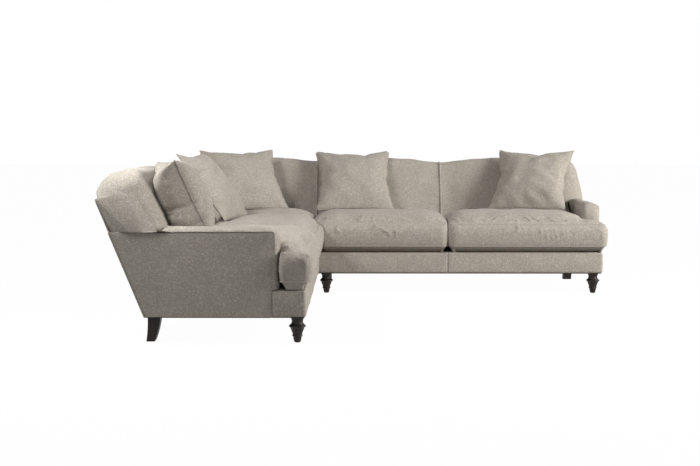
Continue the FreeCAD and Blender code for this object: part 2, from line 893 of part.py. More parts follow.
def cushion_levels(crown, drawn):
    """Heights up a cushion, each with how far the sides, front and back are drawn in there.

    drawn gives how far the three stand in at the crown."""
    low = platform_top.value + size("rest_clear").value
    seam_low = size("seat_seam_low").value
    seam_high = size("seat_seam_high").value
    levels = []
    for step in range(CROWN_STEPS // 2):
        angle = math.radians(90 * step / (CROWN_STEPS // 2))
        share = 1 - math.sin(angle)
        under = size("seat_under_draw").value * share
        front_under = size("seat_front_under_draw").value * share
        levels.append((low + (seam_low - low) * (1 - math.cos(angle)), [under, front_under, under]))
    waist = size("seat_side_draw").value
    levels.append((seam_low, [0.0] * 3))
    levels.append(((seam_low + seam_high) / 2, [waist] * 3))
    levels.append((seam_high, [0.0] * 3))
    for step in range(1, CROWN_STEPS + 1):
        angle = math.radians(90 * step / CROWN_STEPS)
        height = seam_high + (crown - seam_high) * math.sin(angle)
        levels.append((height, [reach * (1 - math.cos(angle)) for reach in drawn]))
    return levels


def seat_body(run, radius, front, drawn):
    """A loft up through plan outlines; its back follows the rake of the back pad's face."""
    clear = size("seat_clear").value + size("face_bow_depth").value
    wires = []
    for height, (sides, fore, aft) in cushion_levels(size("seat_crown").value, drawn):
        back = size("face_foot_depth").value + (height - platform_top.value) * face_slope.value - clear
        wires.append(rounded_outline(
            (run[0] + sides, run[1] - sides), (front + fore, back - aft), height,
            [radius + sides * CORNER_SPREAD] * 4))
    return Part.makeLoft(wires, True, True)


def crown_drawn():
    return [size("crown_side_draw").value, size("crown_front_draw").value, size("crown_back_draw").value]


def make_mid_cushion():
    clear = size("seat_clear").value
    run = (-size("seat_corner").value + clear, size("seat_split").value - clear)
    soft = seat_body(run, size("seat_round").value, -size("seat_overhang").value, crown_drawn())
    reach = size("seat_corner").value + size("seat_overhang").value * 2
    shift = clear / 2
    points = [(-reach, reach), (reach, -reach), (-reach, -reach), (-reach, reach)]
    wedge = Part.Face(Part.makePolygon([vector(x + shift, y + shift, 0) for x, y in points]))
    return add_soft("right_mid_seat_cushion", soft.cut(wedge.extrude(vector(0, 0, size("seat_crown").value))))


def make_end_cushion():
    """The seat cushion by the arm, with the ear that reaches round in front of it."""
    clear = size("seat_clear").value
    front = -size("seat_overhang").value
    run = (size("seat_split").value + clear, arm_inner.value - clear)
    main = seat_body(run, size("seat_round").value, front, crown_drawn())
    back = size("arm_front").value - size("ear_clear").value
    outer = wing_length.value + size("ear_overhang").value
    inner = arm_inner.value - size("ear_root").value
    draw = size("ear_draw").value
    radii = [size("ear_round").value] * 4
    wires = [
        rounded_outline((inner, outer - sides), (front + fore, back - aft), height, radii)
        for height, (sides, fore, aft) in cushion_levels(
            size("ear_crown").value, [draw, draw, draw * EAR_BACK_DRAW])
    ]
    ear = Part.makeLoft(wires, True, True)
    return add_soft("right_end_seat_cushion", main.fuse(ear).removeSplitter())


def make_corner_cushion():
    clear = size("seat_clear").value
    inner = size("seat_corner").value + clear
    sides_drawn, _, back_drawn = crown_drawn()
    wires = []
    for height, (sides, _, aft) in cushion_levels(
            size("seat_crown").value, [sides_drawn, sides_drawn, back_drawn * CORNER_BACK_DRAW]):
        back = size("face_foot_depth").value + (height - platform_top.value) * face_slope.value
        back -= clear + size("face_bow_depth").value + aft
        near = inner + sides
        wires.append(rounded_outline(
            (-back, -near), (near, back), height, [size("seat_round").value + sides * CORNER_SPREAD] * 4))
    return add_soft("corner_seat_cushion", Part.makeLoft(wires, True, True))


# Scatter cushions.
def pillow_outline(width, height, inset, dip, level):
    """Four arcs between drawn-out corners; a positive dip draws the middle of each side in."""
    right = width / 2 - inset
    top = height - inset
    middle = height / 2
    corners = [(-right, inset), (right, inset), (right, top), (-right, top)]
    bows = [(0, inset + dip), (right - dip, middle), (0, top - dip), (-right + dip, middle)]
    edges = []
    for index, (x, y) in enumerate(corners):
        end = corners[(index + 1) % 4]
        bow = bows[index]
        edges.append(Part.Arc(vector(x, y, level), vector(*bow, level), vector(*end, level)).toShape())
    return Part.Wire(edges)


def pillow_shape(kind):
    """A knife-edged cushion that stands on the X axis, is tall in Y and thick in Z, with pointed corners.

    It is fuller in front than behind, where it leans on the back."""
    width = size("pillow_side").value
    height = size(kind + "_height").value
    edge = size("pillow_edge").value
    dip = size("pillow_dip").value
    wires = []
    for step in range(-PILLOW_STEPS, PILLOW_STEPS + 1):
        half = size(kind + ("_front_thick" if step > 0 else "_back_thick")).value
        share = abs(step) / PILLOW_STEPS
        level = edge + (half - edge) * (1 - (1 - share) ** PILLOW_ROUNDING)
        inset = size("pillow_crown_draw").value * share ** PILLOW_SPREAD
        bow = dip - (dip + size("pillow_crown_bow").value) * min(1.0, share * PILLOW_BOW_RATE)
        wires.append(pillow_outline(width, height, inset, bow, math.copysign(level, step) if step else 0.0))
    return Part.makeLoft(wires, True, True)


def pressed_on_back(shape):
    """Cut away what would reach into the back's face, where a fat cushion is pressed flat."""
    behind = size("face_bow_depth").value + size("arm_back_clear").value
    low = platform_top.value
    high = size("back_height").value + size("roll_height").value
    far = back_depth.value
    points = [
        vector(0, face_depth(low).value - behind, low),
        vector(0, face_depth(high).value - behind, high),
        vector(0, face_depth(high).value + far, high),
        vector(0, face_depth(high).value + far, low),
    ]
    wedge = Part.Face(Part.makePolygon(points + points[:1])).extrude(vector(wing_length.value, 0, 0))
    wedge.translate(vector(corner_x.value, corner_y.value, 0))
    return shape.cut(wedge)


def add_pillow(label, place, run, kind="pillow"):
    """Stand a pillow at a run on the middle of its lower edge, on the seat's crown.

    The sheet's values for the place give how far that middle stands in front of the back's face, how
    far below the crown's top, the lean back from upright and the turn of its face from the front."""
    pillow = doc.addObject("Part::Feature", label)
    pillow.Shape = pillow_shape(kind)
    pillow.Label = label
    stand = FreeCAD.Rotation(FreeCAD.Vector(1, 0, 0), 90 - size(place + "_lean_angle").value)
    spin = FreeCAD.Rotation(FreeCAD.Vector(0, 0, 1), size(place + "_turn_angle").value)
    height = size("seat_crown") - size(place + "_drop")
    depth = face_depth(size("seat_crown")) - size(place + "_forward")
    foot = vector((corner_x + run).value, (corner_y + depth).value, height.value)
    stood = FreeCAD.Placement(foot, spin.multiply(stand))
    if kind == "slumped":
        pillow.Shape = pressed_on_back(pillow.Shape.transformed(stood.toMatrix()))
    else:
        pillow.Placement = stood
    return pillow


# Every named piece, in building order.
nodes = {}


def keep(piece):
    nodes[piece.Label] = piece
    return piece


def keep_both(piece):
    """Keep a right-hand piece and its mirror on the left wing."""
    keep(piece)
    return keep(add_mirror(piece.Label.replace("right_", "left_", 1), piece))


for name, piece in make_arm_unit_frame().items():
    keep_both(piece)
keep(make_corner_blocks())
keep_both(add_webbing("right_webbing", join, wing_length - cover))
keep_both(add_box(
    "right_seat_platform", (join, arm_frame_inner - join),
    (cover + join, post_front_depth(frame_top) - join), (web_top, platform_top)))
keep_both(make_front_border())
keep_both(make_arm_frame())
keep_both(make_arm_outer_panel())
keep_both(make_arm("right_arm_pad"))
keep_both(add_group(
    "right_back_posts",
    make_posts("right_back_post", size("post_inset"), wing_length - size("post_inset"), POST_COUNT)))
keep_both(add_raked_slab(
    "right_back_top_rail", (join, wing_length - size("back_end_clear")), top_rail_low, roll_seam,
    post_front_depth, panel_inner_depth))
keep_both(make_arm_unit_back_pad())
outside = add_raked_slab(
    "right_outside_back_blank", (join, wing_length), base_low, roll_seam, panel_inner_depth, outside_depth)
end_notch = add_box(
    "right_outside_back_notch", (wing_length - size("back_end_inset"), wing_length + cover),
    (rear_rail_front, back_depth), (arm_edge, roll_seam + cover))
keep_both(add_cut("right_outside_back", outside, [end_notch]))
keep(add_group(
    "right_turned_legs",
    [add_turned_leg("right_turned_leg_%d" % n, *place) for n, place in enumerate(FRONT_LEGS)]))
left_legs = add_group(
    "left_turned_leg_sources",
    [add_turned_leg("left_turned_leg_%d" % n, *place) for n, place in enumerate(LEFT_FRONT_LEGS)])
keep(add_mirror("left_turned_legs", left_legs))
keep_both(add_group(
    "right_sabre_legs", [add_sabre_leg("right_sabre_leg_%d" % n, run) for n, run in enumerate(REAR_LEGS)]))


def make_dust_cover(label, legs):
    return add_dust_cover(
        label, (join, wing_length - cover), (cover, panel_inner_depth(base_low)),
        front_leg_holes(label, legs) + rear_leg_holes(label, REAR_LEGS))


keep(make_dust_cover("right_dust_cover", FRONT_LEGS))
keep(add_mirror("left_dust_cover", make_dust_cover("left_dust_cover_source", LEFT_FRONT_LEGS)))

# The corner unit: one rear half, mirrored to its side half.
deep = back_depth + cover


def mitred(label, piece, low, high):
    return add_common(label, piece, add_mitre(label + "_mitre", (low, high)))


def both_halves(label, piece):
    return add_group(label, [piece, add_mirror(label + "_side", piece)])


inner = add_box("corner_inner_rail_blank", (-rail, -join), (rail, rear_rail_front), (frame_low, frame_top))
inner = add_cut("corner_inner_rail", inner, coupling_holes("corner_inner_rail"))
keep(both_halves("corner_inner_rails", inner))
outer = add_slab("corner_outer_rail_blank", rear_rail_points(), (-deep, -join))
outer = mitred("corner_outer_rail_mitred", outer, measure(0), frame_top)
keep(both_halves("corner_outer_rails", add_cut(
    "corner_outer_rail", outer, rear_leg_holes("corner_outer_rail", CORNER_REAR_LEGS))))
keep(add_webbing("corner_webbing", -rear_rail_front - rail, -join))
keep(add_box(
    "corner_seat_platform", (-post_front_depth(frame_top) + join, -join),
    (join, post_front_depth(frame_top) - join), (web_top, platform_top)))
keep(both_halves("corner_back_posts", add_group("corner_rear_posts", make_posts(
    "corner_back_post", -rear_rail_front, -size("post_inset"), CORNER_POST_COUNT))))
top_rail = add_raked_slab(
    "corner_top_rail_blank", (-deep, -join), top_rail_low, roll_seam, post_front_depth, panel_inner_depth)
keep(both_halves("corner_back_top_rails", mitred("corner_back_top_rail", top_rail, measure(0), roll_seam)))
pad = keep(make_corner_back_pad())
keep(add_mirror("corner_side_back_pad", pad))
shell = add_raked_slab(
    "corner_outside_back_blank", (-deep, -join), base_low, roll_seam, panel_inner_depth, outside_depth)
shell = keep(mitred("corner_rear_outside_back", shell, measure(0), roll_seam))
keep(add_mirror("corner_side_outside_back", shell))
keep(add_turned_leg("corner_turned_leg", *CORNER_LEG))
keep(both_halves("corner_sabre_legs", add_group("corner_rear_sabre_legs", [
    add_sabre_leg("corner_sabre_leg_%d" % n, run) for n, run in enumerate(CORNER_REAR_LEGS)])))
cover_holes = rear_leg_holes("corner_dust_cover", CORNER_REAR_LEGS)
cover_holes += [add_mirror("corner_dust_hole_%d" % n, hole) for n, hole in enumerate(cover_holes)]
cover_holes.append(add_bolt_hole("corner_dust_front", *CORNER_LEG))
cover_edge = panel_inner_depth(base_low)
keep(add_dust_cover("corner_dust_cover", (-cover_edge, -join), (join, cover_edge), cover_holes))

# Fasteners that several units share.
half_sabre = size("sabre_width") / 2
rear_bolts = [
    add_hanger_bolt("rear_bolt_%d" % n, run + half_sabre, sabre_bolt_depth())
    for n, run in enumerate(REAR_LEGS + CORNER_REAR_LEGS)
]
right_bolts = [add_hanger_bolt("right_front_bolt_%d" % n, *place) for n, place in enumerate(FRONT_LEGS)]
left_bolts = [
    add_hanger_bolt("left_front_bolt_%d" % n, *place) for n, place in enumerate(LEFT_FRONT_LEGS)
]
left_bolts = [add_mirror("left_bolt_%d" % n, bolt) for n, bolt in enumerate(left_bolts + rear_bolts)]
corner_bolt = add_hanger_bolt("corner_front_bolt", *CORNER_LEG)
keep(add_group("leg_hanger_bolts", right_bolts + rear_bolts + left_bolts + [corner_bolt]))


def add_coupling(label, depth):
    """A bolt through the inner rails of two units, with a head on each end."""
    head = size("coupling_head_thick")
    height = size("coupling_height")
    pieces = [
        add_rod(label + "_shank", -rail, depth, height, bolt_round, rail * 2, True),
        add_rod(label + "_head", -rail - head, depth, height, size("coupling_head"), head, True),
        add_rod(label + "_nut", rail, depth, height, size("coupling_head"), head, True),
    ]
    bolt = doc.addObject("Part::MultiFuse", label)
    bolt.Shapes = pieces
    return bolt


couplings = [add_coupling("right_coupling_%d" % n, depth) for n, depth in enumerate(COUPLINGS)]
couplings += [add_mirror("left_coupling_%d" % n, bolt) for n, bolt in enumerate(couplings)]
keep(add_group("unit_coupling_bolts", couplings))

keep_both(make_mid_cushion())
keep_both(make_end_cushion())
keep(make_corner_cushion())

# Scatter cushions, those of the left wing drawn on the right one and mirrored.
keep(add_pillow("right_mid_scatter_cushion", "right_mid_pillow", size("right_mid_pillow_run")))
keep(add_pillow(
    "right_end_scatter_cushion", "right_end_pillow", arm_inner - size("right_end_pillow_run")))
keep(add_pillow("corner_scatter_cushion", "corner_pillow", -size("corner_pillow_run")))
left_mid = add_pillow("left_mid_scatter_source", "left_mid_pillow", size("left_mid_pillow_run"))
keep(add_mirror("left_mid_scatter_cushion", left_mid))
left_end = add_pillow(
    "left_end_scatter_source", "left_end_pillow", arm_inner - size("left_end_pillow_run"), "slumped")
keep(add_mirror("left_end_scatter_cushion", left_end))

doc.recompute()

for item in doc.Objects:
    if "Invalid" in item.State or "Error" in item.State:
        raise RuntimeError("%s is %s" % (item.Label, item.State))
for label, piece in nodes.items():
    if piece.Shape.isNull() or not piece.Shape.isValid() or not piece.Shape.Solids:
        raise RuntimeError("%s has no valid solid" % label)

os.makedirs("parts", exist_ok=True)
for label, piece in nodes.items():
    piece.Shape.exportStep("parts/%s.step" % label)
print("wrote %d sub-parts" % len(nodes))
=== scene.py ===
import json
import math

import bpy
import numpy as np
from mathutils import Matrix, Vector


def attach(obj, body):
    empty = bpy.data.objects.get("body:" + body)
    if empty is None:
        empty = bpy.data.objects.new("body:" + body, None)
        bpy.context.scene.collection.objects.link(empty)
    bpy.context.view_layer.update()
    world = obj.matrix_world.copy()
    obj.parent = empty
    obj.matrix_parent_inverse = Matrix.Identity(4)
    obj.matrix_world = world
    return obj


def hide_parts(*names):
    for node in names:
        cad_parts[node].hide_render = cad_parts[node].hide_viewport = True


# Corner sofa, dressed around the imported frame. Metres, in the row frame. A place on a wing has a run
# along the wing, a depth back from its front plane and a height, as in the part's source.

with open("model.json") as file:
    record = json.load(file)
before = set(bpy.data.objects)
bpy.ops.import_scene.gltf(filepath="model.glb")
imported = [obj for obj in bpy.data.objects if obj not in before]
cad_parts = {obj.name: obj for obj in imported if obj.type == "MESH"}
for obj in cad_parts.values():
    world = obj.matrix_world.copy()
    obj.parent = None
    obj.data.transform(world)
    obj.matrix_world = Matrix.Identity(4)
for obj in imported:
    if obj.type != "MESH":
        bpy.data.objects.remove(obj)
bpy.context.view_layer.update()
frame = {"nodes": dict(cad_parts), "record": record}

# Where the two wings' front planes cross, and the wings' own sizes.
CORNER_X = -0.3975
CORNER_Y = 0.3975
WING = 1.792
ARM_INNER = 1.682
SPLIT = 0.815
BACK_SEAM = 0.030
# Base, outside back and the raked face of the back pads.
BASE_LOW = 0.126
BASE_TOP = 0.259
BASE_DEPTH = 0.782
BACK_SLOPE = 0.40806
FACE_FOOT = 0.581
FACE_SLOPE = 0.37787
PLATFORM = 0.262
# Back pads: the crown, the seam under the roll and the gathers at a sewn seam.
BACK_HEIGHT = 0.838
BACK_DEPTH = 1.020
ROLL_SEAM = 0.696
BROW = 0.802
GATHER_WIDTH = 0.360
END_GATHER = 0.028
SPLIT_GATHER = 0.040
# Arms and the border that ends under them.
ARM_EDGE = 0.539
ARM_SEAM = 0.545
ARM_TOP = 0.564
ARM_FRONT = 0.129
BORDER_END = 0.163
# Seat cushions; the ear is the part of an end cushion in front of the arm.
SEAT_LOW = 0.303
SEAT_HIGH = 0.437
SEAT_CROWN = 0.512
SEAT_FRONT = -0.026
EAR_CROWN = 0.462
# The hair's breadth kept to a neighbour, and between two seat cushions.
HAIR = 0.0004
CLEAR = 0.0008


def hand_of(left):
    return "left" if left else "right"


def on_wing(points, left=False):
    """Run, depth and height on a wing to the row frame; the left wing mirrors the right one."""
    out = np.array(points, float)
    x = CORNER_X + out[..., 0]
    y = CORNER_Y + out[..., 1]
    out[..., 0] = -y if left else x
    out[..., 1] = -x if left else y
    return out


def outside_depth(height):
    return BASE_DEPTH + (height - BASE_LOW) * BACK_SLOPE


def face_depth(height):
    return FACE_FOOT + (height - PLATFORM) * FACE_SLOPE


# Smooth random fields: sums of waves with seeded directions.
def waves(points, seed, length, stretch=(1.0, 1.0, 1.0), count=26):
    rng = np.random.default_rng(seed)
    way = rng.normal(size=(count, 3))
    way /= np.linalg.norm(way, axis=1)[:, None]
    way *= rng.uniform(0.6, 1.5, size=(count, 1)) * 2 * math.pi / length
    way /= np.array(stretch)
    phase = rng.uniform(0, 2 * math.pi, count)
    return np.cos(points @ way.T + phase).sum(-1) / math.sqrt(count / 2)


def creases(points, seed, length, stretch=(1.0, 1.0, 1.0)):
    """Thin raised folds, 0 to 1, where a random field crosses zero."""
    field = waves(points, seed, length, stretch)
    return np.clip(1 - np.abs(field) * 1.6, 0, 1) ** 2


def smooth(x, low, high):
    t = np.clip((x - low) / (high - low), 0, 1)
    return t * t * (3 - 2 * t)


# Meshes.
def make_mesh(name, verts, faces, material, sharp=50):
    mesh = bpy.data.meshes.new(name)
    mesh.from_pydata([tuple(v) for v in verts], [], faces)
    mesh.validate()
    mesh.shade_smooth()
    mesh.set_sharp_from_angle(angle=math.radians(sharp))
    piece = bpy.data.objects.new(name, mesh)
    bpy.context.scene.collection.objects.link(piece)
    mesh.materials.append(material)
    return piece


def grid_faces(rows, columns, wrap=True, flip=False, start=0):
    faces = []
    span = columns if wrap else columns - 1
    for i in range(rows - 1):
        for j in range(span):
            k = (j + 1) % columns
            quad = (i * columns + j, i * columns + k, (i + 1) * columns + k, (i + 1) * columns + j)
            quad = tuple(start + q for q in quad)
            faces.append(quad[::-1] if flip else quad)
    return faces


def tube_of_rings(name, rings, material, flip=False, capped=True, sharp=50):
    """Closed rings joined into a skin; a cap closes each end, unless the rings close on themselves."""
    rings = np.asarray(rings)
    rows, columns, _ = rings.shape
    faces = grid_faces(rows, columns, True, flip)
    if capped:
        first = tuple(range(columns))
        last = tuple((rows - 1) * columns + j for j in range(columns))
        faces.append(first if flip else first[::-1])
        faces.append(last[::-1] if flip else last)
    return make_mesh(name, rings.reshape(-1, 3), faces, material, sharp)


def welt(name, path, radius, material, closed=False, sides=8):
    """A thin round cord of fabric sewn along a seam."""
    path = np.asarray(path, float)
    count = len(path)
    if closed:
        ahead = np.roll(path, -1, 0) - np.roll(path, 1, 0)
    else:
        ahead = np.gradient(path, axis=0)
    ahead /= np.linalg.norm(ahead, axis=1)[:, None]
    side = np.zeros_like(path)
    guess = np.array([0.0, 0.0, 1.0])
    if abs(ahead[0] @ guess) > 0.9:
        guess = np.array([1.0, 0.0, 0.0])
    for i in range(count):
        guess = guess - ahead[i] * (guess @ ahead[i])
        guess /= np.linalg.norm(guess)
        side[i] = guess
    other = np.cross(ahead, side)
    angle = np.arange(sides) * 2 * math.pi / sides
    rings = path[:, None, :] + radius * (
        np.cos(angle)[None, :, None] * side[:, None, :] + np.sin(angle)[None, :, None] * other[:, None, :])
    if closed:
        rings = np.concatenate([rings, rings[:1]])
    return tube_of_rings(name, rings, material, capped=not closed)


ARC_STEPS = 10


def rounded_outline(corners, radii, step=0.009):
    """A closed plan outline with round corners, sampled evenly; returns points and outward normals."""
    points = []
    count = len(corners)
    corners = [np.array(c, float) for c in corners]
    for i, corner in enumerate(corners):
        before = corners[i - 1] - corner
        after = corners[(i + 1) % count] - corner
        radius = radii[i]
        a = before / np.linalg.norm(before)
        b = after / np.linalg.norm(after)
        half = math.acos(np.clip(a @ b, -1, 1)) / 2
        reach = radius / math.tan(half)
        start = corner + a * reach
        end = corner + b * reach
        centre = corner + (a + b) / np.linalg.norm(a + b) * radius / math.sin(half)
        low = math.atan2(*(start - centre)[::-1])
        high = math.atan2(*(end - centre)[::-1])
        turn = (high - low + math.pi) % (2 * math.pi) - math.pi
        for k in range(ARC_STEPS + 1):
            angle = low + turn * (k / ARC_STEPS)
            points.append(centre + radius * np.array([math.cos(angle), math.sin(angle)]))
    points = np.array(points)
    closed = np.vstack([points, points[:1]])
    lengths = np.concatenate([[0], np.cumsum(np.linalg.norm(np.diff(closed, axis=0), axis=1))])
    number = int(lengths[-1] / step)
    at = np.arange(number) * lengths[-1] / number
    even = np.stack([np.interp(at, lengths, closed[:, k]) for k in range(2)], 1)
    ahead = np.roll(even, -1, 0) - np.roll(even, 1, 0)
    ahead /= np.linalg.norm(ahead, axis=1)[:, None]
    return even, np.stack([ahead[:, 1], -ahead[:, 0]], 1)


# Materials.
def node_material(name):
    material = bpy.data.materials.new(name)
    material.use_nodes = True
    tree = material.node_tree
    tree.nodes.clear()
    out = tree.nodes.new("ShaderNodeOutputMaterial")
    shader = tree.nodes.new("ShaderNodeBsdfPrincipled")
    tree.links.new(shader.outputs[0], out.inputs[0])
    return material, tree, shader


def connect(tree, node, inputs):
    """Links the sockets among the inputs and sets the plain values."""
    for key, value in inputs.items():
        if isinstance(value, bpy.types.NodeSocket):
            tree.links.new(value, node.inputs[key])
        else:
            node.inputs[key].default_value = value
    return node


def add_node(tree, kind, inputs=None, **settings):
    node = tree.nodes.new(kind)
    for key, value in settings.items():
        setattr(node, key, value)
    return connect(tree, node, inputs or {})


def maths(tree, operation, *values):
    return add_node(tree, "ShaderNodeMath", dict(enumerate(values)), operation=operation).outputs[0]


def colour_mix(tree, share, first, second):
    return add_node(tree, "ShaderNodeMix", {"Factor": share, "A": first, "B": second}, data_type="RGBA").outputs[2]


def linear(r, g, b):
    def one(c):
        c /= 255
        return c / 12.92 if c <= 0.04045 else ((c + 0.055) / 1.055) ** 2.4
    return one(r), one(g), one(b), 1.0


def weave_height(tree, place, facing, pitch):
    """A plain weave's height, drawn on the three planes and mixed by where the surface faces."""
    axes = add_node(tree, "ShaderNodeSeparateXYZ", {0: place})
    turns = [maths(tree, "MULTIPLY", axes.outputs[k], 2 * math.pi / pitch) for k in range(3)]
    whole = [maths(tree, "SINE", turn) for turn in turns]
    half = [maths(tree, "SINE", maths(tree, "MULTIPLY", turn, 0.5)) for turn in turns]
    normal = add_node(tree, "ShaderNodeSeparateXYZ", {0: facing})
    total = None
    weight = None
    for across, (a, b) in enumerate(((1, 2), (0, 2), (0, 1))):
        checker = maths(tree, "MULTIPLY", half[a], half[b])
        over = maths(tree, "MAXIMUM", maths(tree, "MULTIPLY", checker, whole[a]),
                     maths(tree, "MULTIPLY", checker, whole[b]))
        share = maths(tree, "POWER", maths(tree, "ABSOLUTE", normal.outputs[across]), 4.0)
        part = maths(tree, "MULTIPLY", over, share)
        total = part if total is None else maths(tree, "ADD", total, part)
        weight = share if weight is None else maths(tree, "ADD", weight, share)
    return maths(tree, "DIVIDE", total, weight)


def make_fabric(name, colour, fleck, dark):
    """A heathered linen weave: slubs, light flecks, faint mottling and a matt sheen."""
    material, tree, shader = node_material(name)
    place = add_node(tree, "ShaderNodeTexCoord").outputs["Object"]

    def field(scale, detail, stretch=None):
        spot = place
        if stretch:
            spot = add_node(tree, "ShaderNodeMapping", {"Vector": place, "Scale": stretch}).outputs[0]
        return add_node(tree, "ShaderNodeTexNoise", {
            "Vector": spot, "Scale": scale, "Detail": detail, "Roughness": 0.55}).outputs[0]

    def ranged(value, low, high, to_low, to_high):
        return add_node(tree, "ShaderNodeMapRange", {
            "Value": value, "From Min": low, "From Max": high, "To Min": to_low, "To Max": to_high}).outputs[0]

    mottle = field(24.0, 3.0)
    slub = field(135.0, 2.0)
    weft = field(60.0, 2.0, (1.0, 1.0, 7.0))
    warp = field(60.0, 2.0, (7.0, 7.0, 1.0))
    thread = field(420.0, 1.0)
    base = colour_mix(tree, ranged(mottle, 0.3, 0.7, 0.0, 1.0), linear(*colour), linear(*[c * 0.945 for c in colour]))
    lines = maths(tree, "ADD", ranged(weft, 0.42, 0.72, 0.0, 0.34), ranged(warp, 0.42, 0.72, 0.0, 0.34))
    base = colour_mix(tree, lines, base, linear(*dark))
    base = colour_mix(tree, ranged(slub, 0.52, 0.74, 0.0, 0.9), base, linear(*fleck))
    base = colour_mix(tree, ranged(thread, 0.3, 0.6, 0.5, 0.0), base, linear(*dark))
    facing = add_node(tree, "ShaderNodeNewGeometry")
    weave = weave_height(tree, place, facing.outputs["Normal"], 0.0026)
    height = maths(tree, "ADD", maths(tree, "MULTIPLY", weave, 0.45), maths(tree, "MULTIPLY", slub, 1.6))
    height = maths(tree, "ADD", height, maths(tree, "ADD", weft, warp))
    fine = add_node(tree, "ShaderNodeBump", {"Height": height, "Strength": 0.6, "Distance": 0.0012})
    connect(tree, shader, {
        "Base Color": base, "Normal": fine.outputs[0], "Roughness": 0.92, "Specular IOR Level": 0.18,
        "Sheen Weight": 0.16, "Sheen Roughness": 0.45})
    return material


def make_wood(name):
    """Dark stained walnut: long grain, darker pores and a satin polish."""
    material, tree, shader = node_material(name)
    place = add_node(tree, "ShaderNodeTexCoord").outputs["Object"]
    stretch = add_node(tree, "ShaderNodeMapping", {"Vector": place, "Scale": (1.0, 1.0, 0.12)})
    grain = add_node(tree, "ShaderNodeTexNoise", {
        "Vector": stretch.outputs[0], "Scale": 120.0, "Detail": 5.0, "Roughness": 0.65, "Distortion": 0.6})
    ramp = add_node(tree, "ShaderNodeValToRGB", {"Fac": grain.outputs[0]})
    ramp.color_ramp.elements[0].position = 0.32
    ramp.color_ramp.elements[0].color = linear(11, 7, 5)
    ramp.color_ramp.elements[1].position = 0.72
    ramp.color_ramp.elements[1].color = linear(38, 27, 21)
    bump = add_node(tree, "ShaderNodeBump", {"Height": grain.outputs[0], "Strength": 0.25, "Distance": 0.0006})
    connect(tree, shader, {
        "Base Color": ramp.outputs[0], "Normal": bump.outputs[0], "Roughness": 0.5, "Specular IOR Level": 0.3})
    return material


def make_plain(name, colour, second, scale, roughness=0.8, metal=0.0, bump_depth=0.0006):
    """Hidden materials: bare timber, cloth, jute and plated steel, with a little variation."""
    material, tree, shader = node_material(name)
    place = add_node(tree, "ShaderNodeTexCoord").outputs["Object"]
    speck = add_node(tree, "ShaderNodeTexNoise", {
        "Vector": place, "Scale": scale, "Detail": 4.0, "Roughness": 0.6}).outputs[0]
    bump = add_node(tree, "ShaderNodeBump", {"Height": speck, "Strength": 0.4, "Distance": bump_depth})
    connect(tree, shader, {
        "Base Color": colour_mix(tree, speck, linear(*colour), linear(*second)), "Normal": bump.outputs[0],
        "Roughness": roughness, "Metallic": metal})
    return material


FABRIC = make_fabric("greige_linen", (184, 177, 166), (214, 207, 197), (138, 131, 121))
WOOD = make_wood("dark_walnut")
TIMBER = make_plain("bare_hardwood", (196, 164, 120), (168, 132, 92), 40.0)
# Black dust cloth for the frame's underside, also laid on the lowest edge of the panels and border as painted shade
# under the hem.
DUST_CLOTH_AND_HEM_SHADE = make_plain("black_dust_cloth_and_hem_shade", (34, 34, 34), (24, 24, 24), 300.0, 0.95)
JUTE = make_plain("jute_webbing", (158, 134, 96), (124, 102, 70), 220.0, 0.95)
CANVAS = make_plain("platform_canvas", (150, 142, 130), (134, 126, 114), 200.0, 0.95)
STEEL = make_plain("zinc_steel", (176, 178, 182), (150, 152, 156), 120.0, 0.35, 1.0, 0.0002)

SLOT_MATERIALS = {
    "seat_fabric": FABRIC,
    "scatter_fabric": FABRIC,
    "pad_fabric": FABRIC,
    "panel_fabric": FABRIC,
    "dust_cloth": DUST_CLOTH_AND_HEM_SHADE,
    "webbing": JUTE,
    "platform_cloth": CANVAS,
    "dark_wood": WOOD,
    "zinc_steel": STEEL,
    "frame_timber": TIMBER,
}
for row in frame["record"]["subparts"]:
    carried = frame["nodes"][row["node"]]
    carried.data.materials.clear()
    carried.data.materials.append(SLOT_MATERIALS[row["material_slot"]])


def dress(piece, body, nodes=()):
    """What the piece rides on, and the CAD nodes it stands for, which are hidden."""
    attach(piece, body)
    if nodes:
        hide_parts(*nodes)


# Backs.
PAD_BEHIND = 0.053


def spline(points, steps):
    """A smooth curve through the points, centripetal so that it doesn't overshoot."""
    points = [np.array(p, float) for p in points]
    points = [2 * points[0] - points[1]] + points + [2 * points[-1] - points[-2]]
    out = []
    for i in range(1, len(points) - 2):
        p0, p1, p2, p3 = points[i - 1:i + 3]
        t0 = 0.0
        t1 = np.linalg.norm(p1 - p0) ** 0.5
        t2 = t1 + np.linalg.norm(p2 - p1) ** 0.5
        t3 = t2 + np.linalg.norm(p3 - p2) ** 0.5
        last = i == len(points) - 3
        number = steps[i - 1]
        for k in range(number + (1 if last else 0)):
            t = t1 + (t2 - t1) * k / number
            a1 = (t1 - t) / (t1 - t0) * p0 + (t - t0) / (t1 - t0) * p1
            a2 = (t2 - t) / (t2 - t1) * p1 + (t - t1) / (t2 - t1) * p2
            a3 = (t3 - t) / (t3 - t2) * p2 + (t - t2) / (t3 - t2) * p3
            b1 = (t2 - t) / (t2 - t0) * a1 + (t - t0) / (t2 - t0) * a2
            b2 = (t3 - t) / (t3 - t1) * a2 + (t - t1) / (t3 - t1) * a3
            out.append((t2 - t) / (t2 - t1) * b1 + (t - t1) / (t2 - t1) * b2)
    return np.array(out)


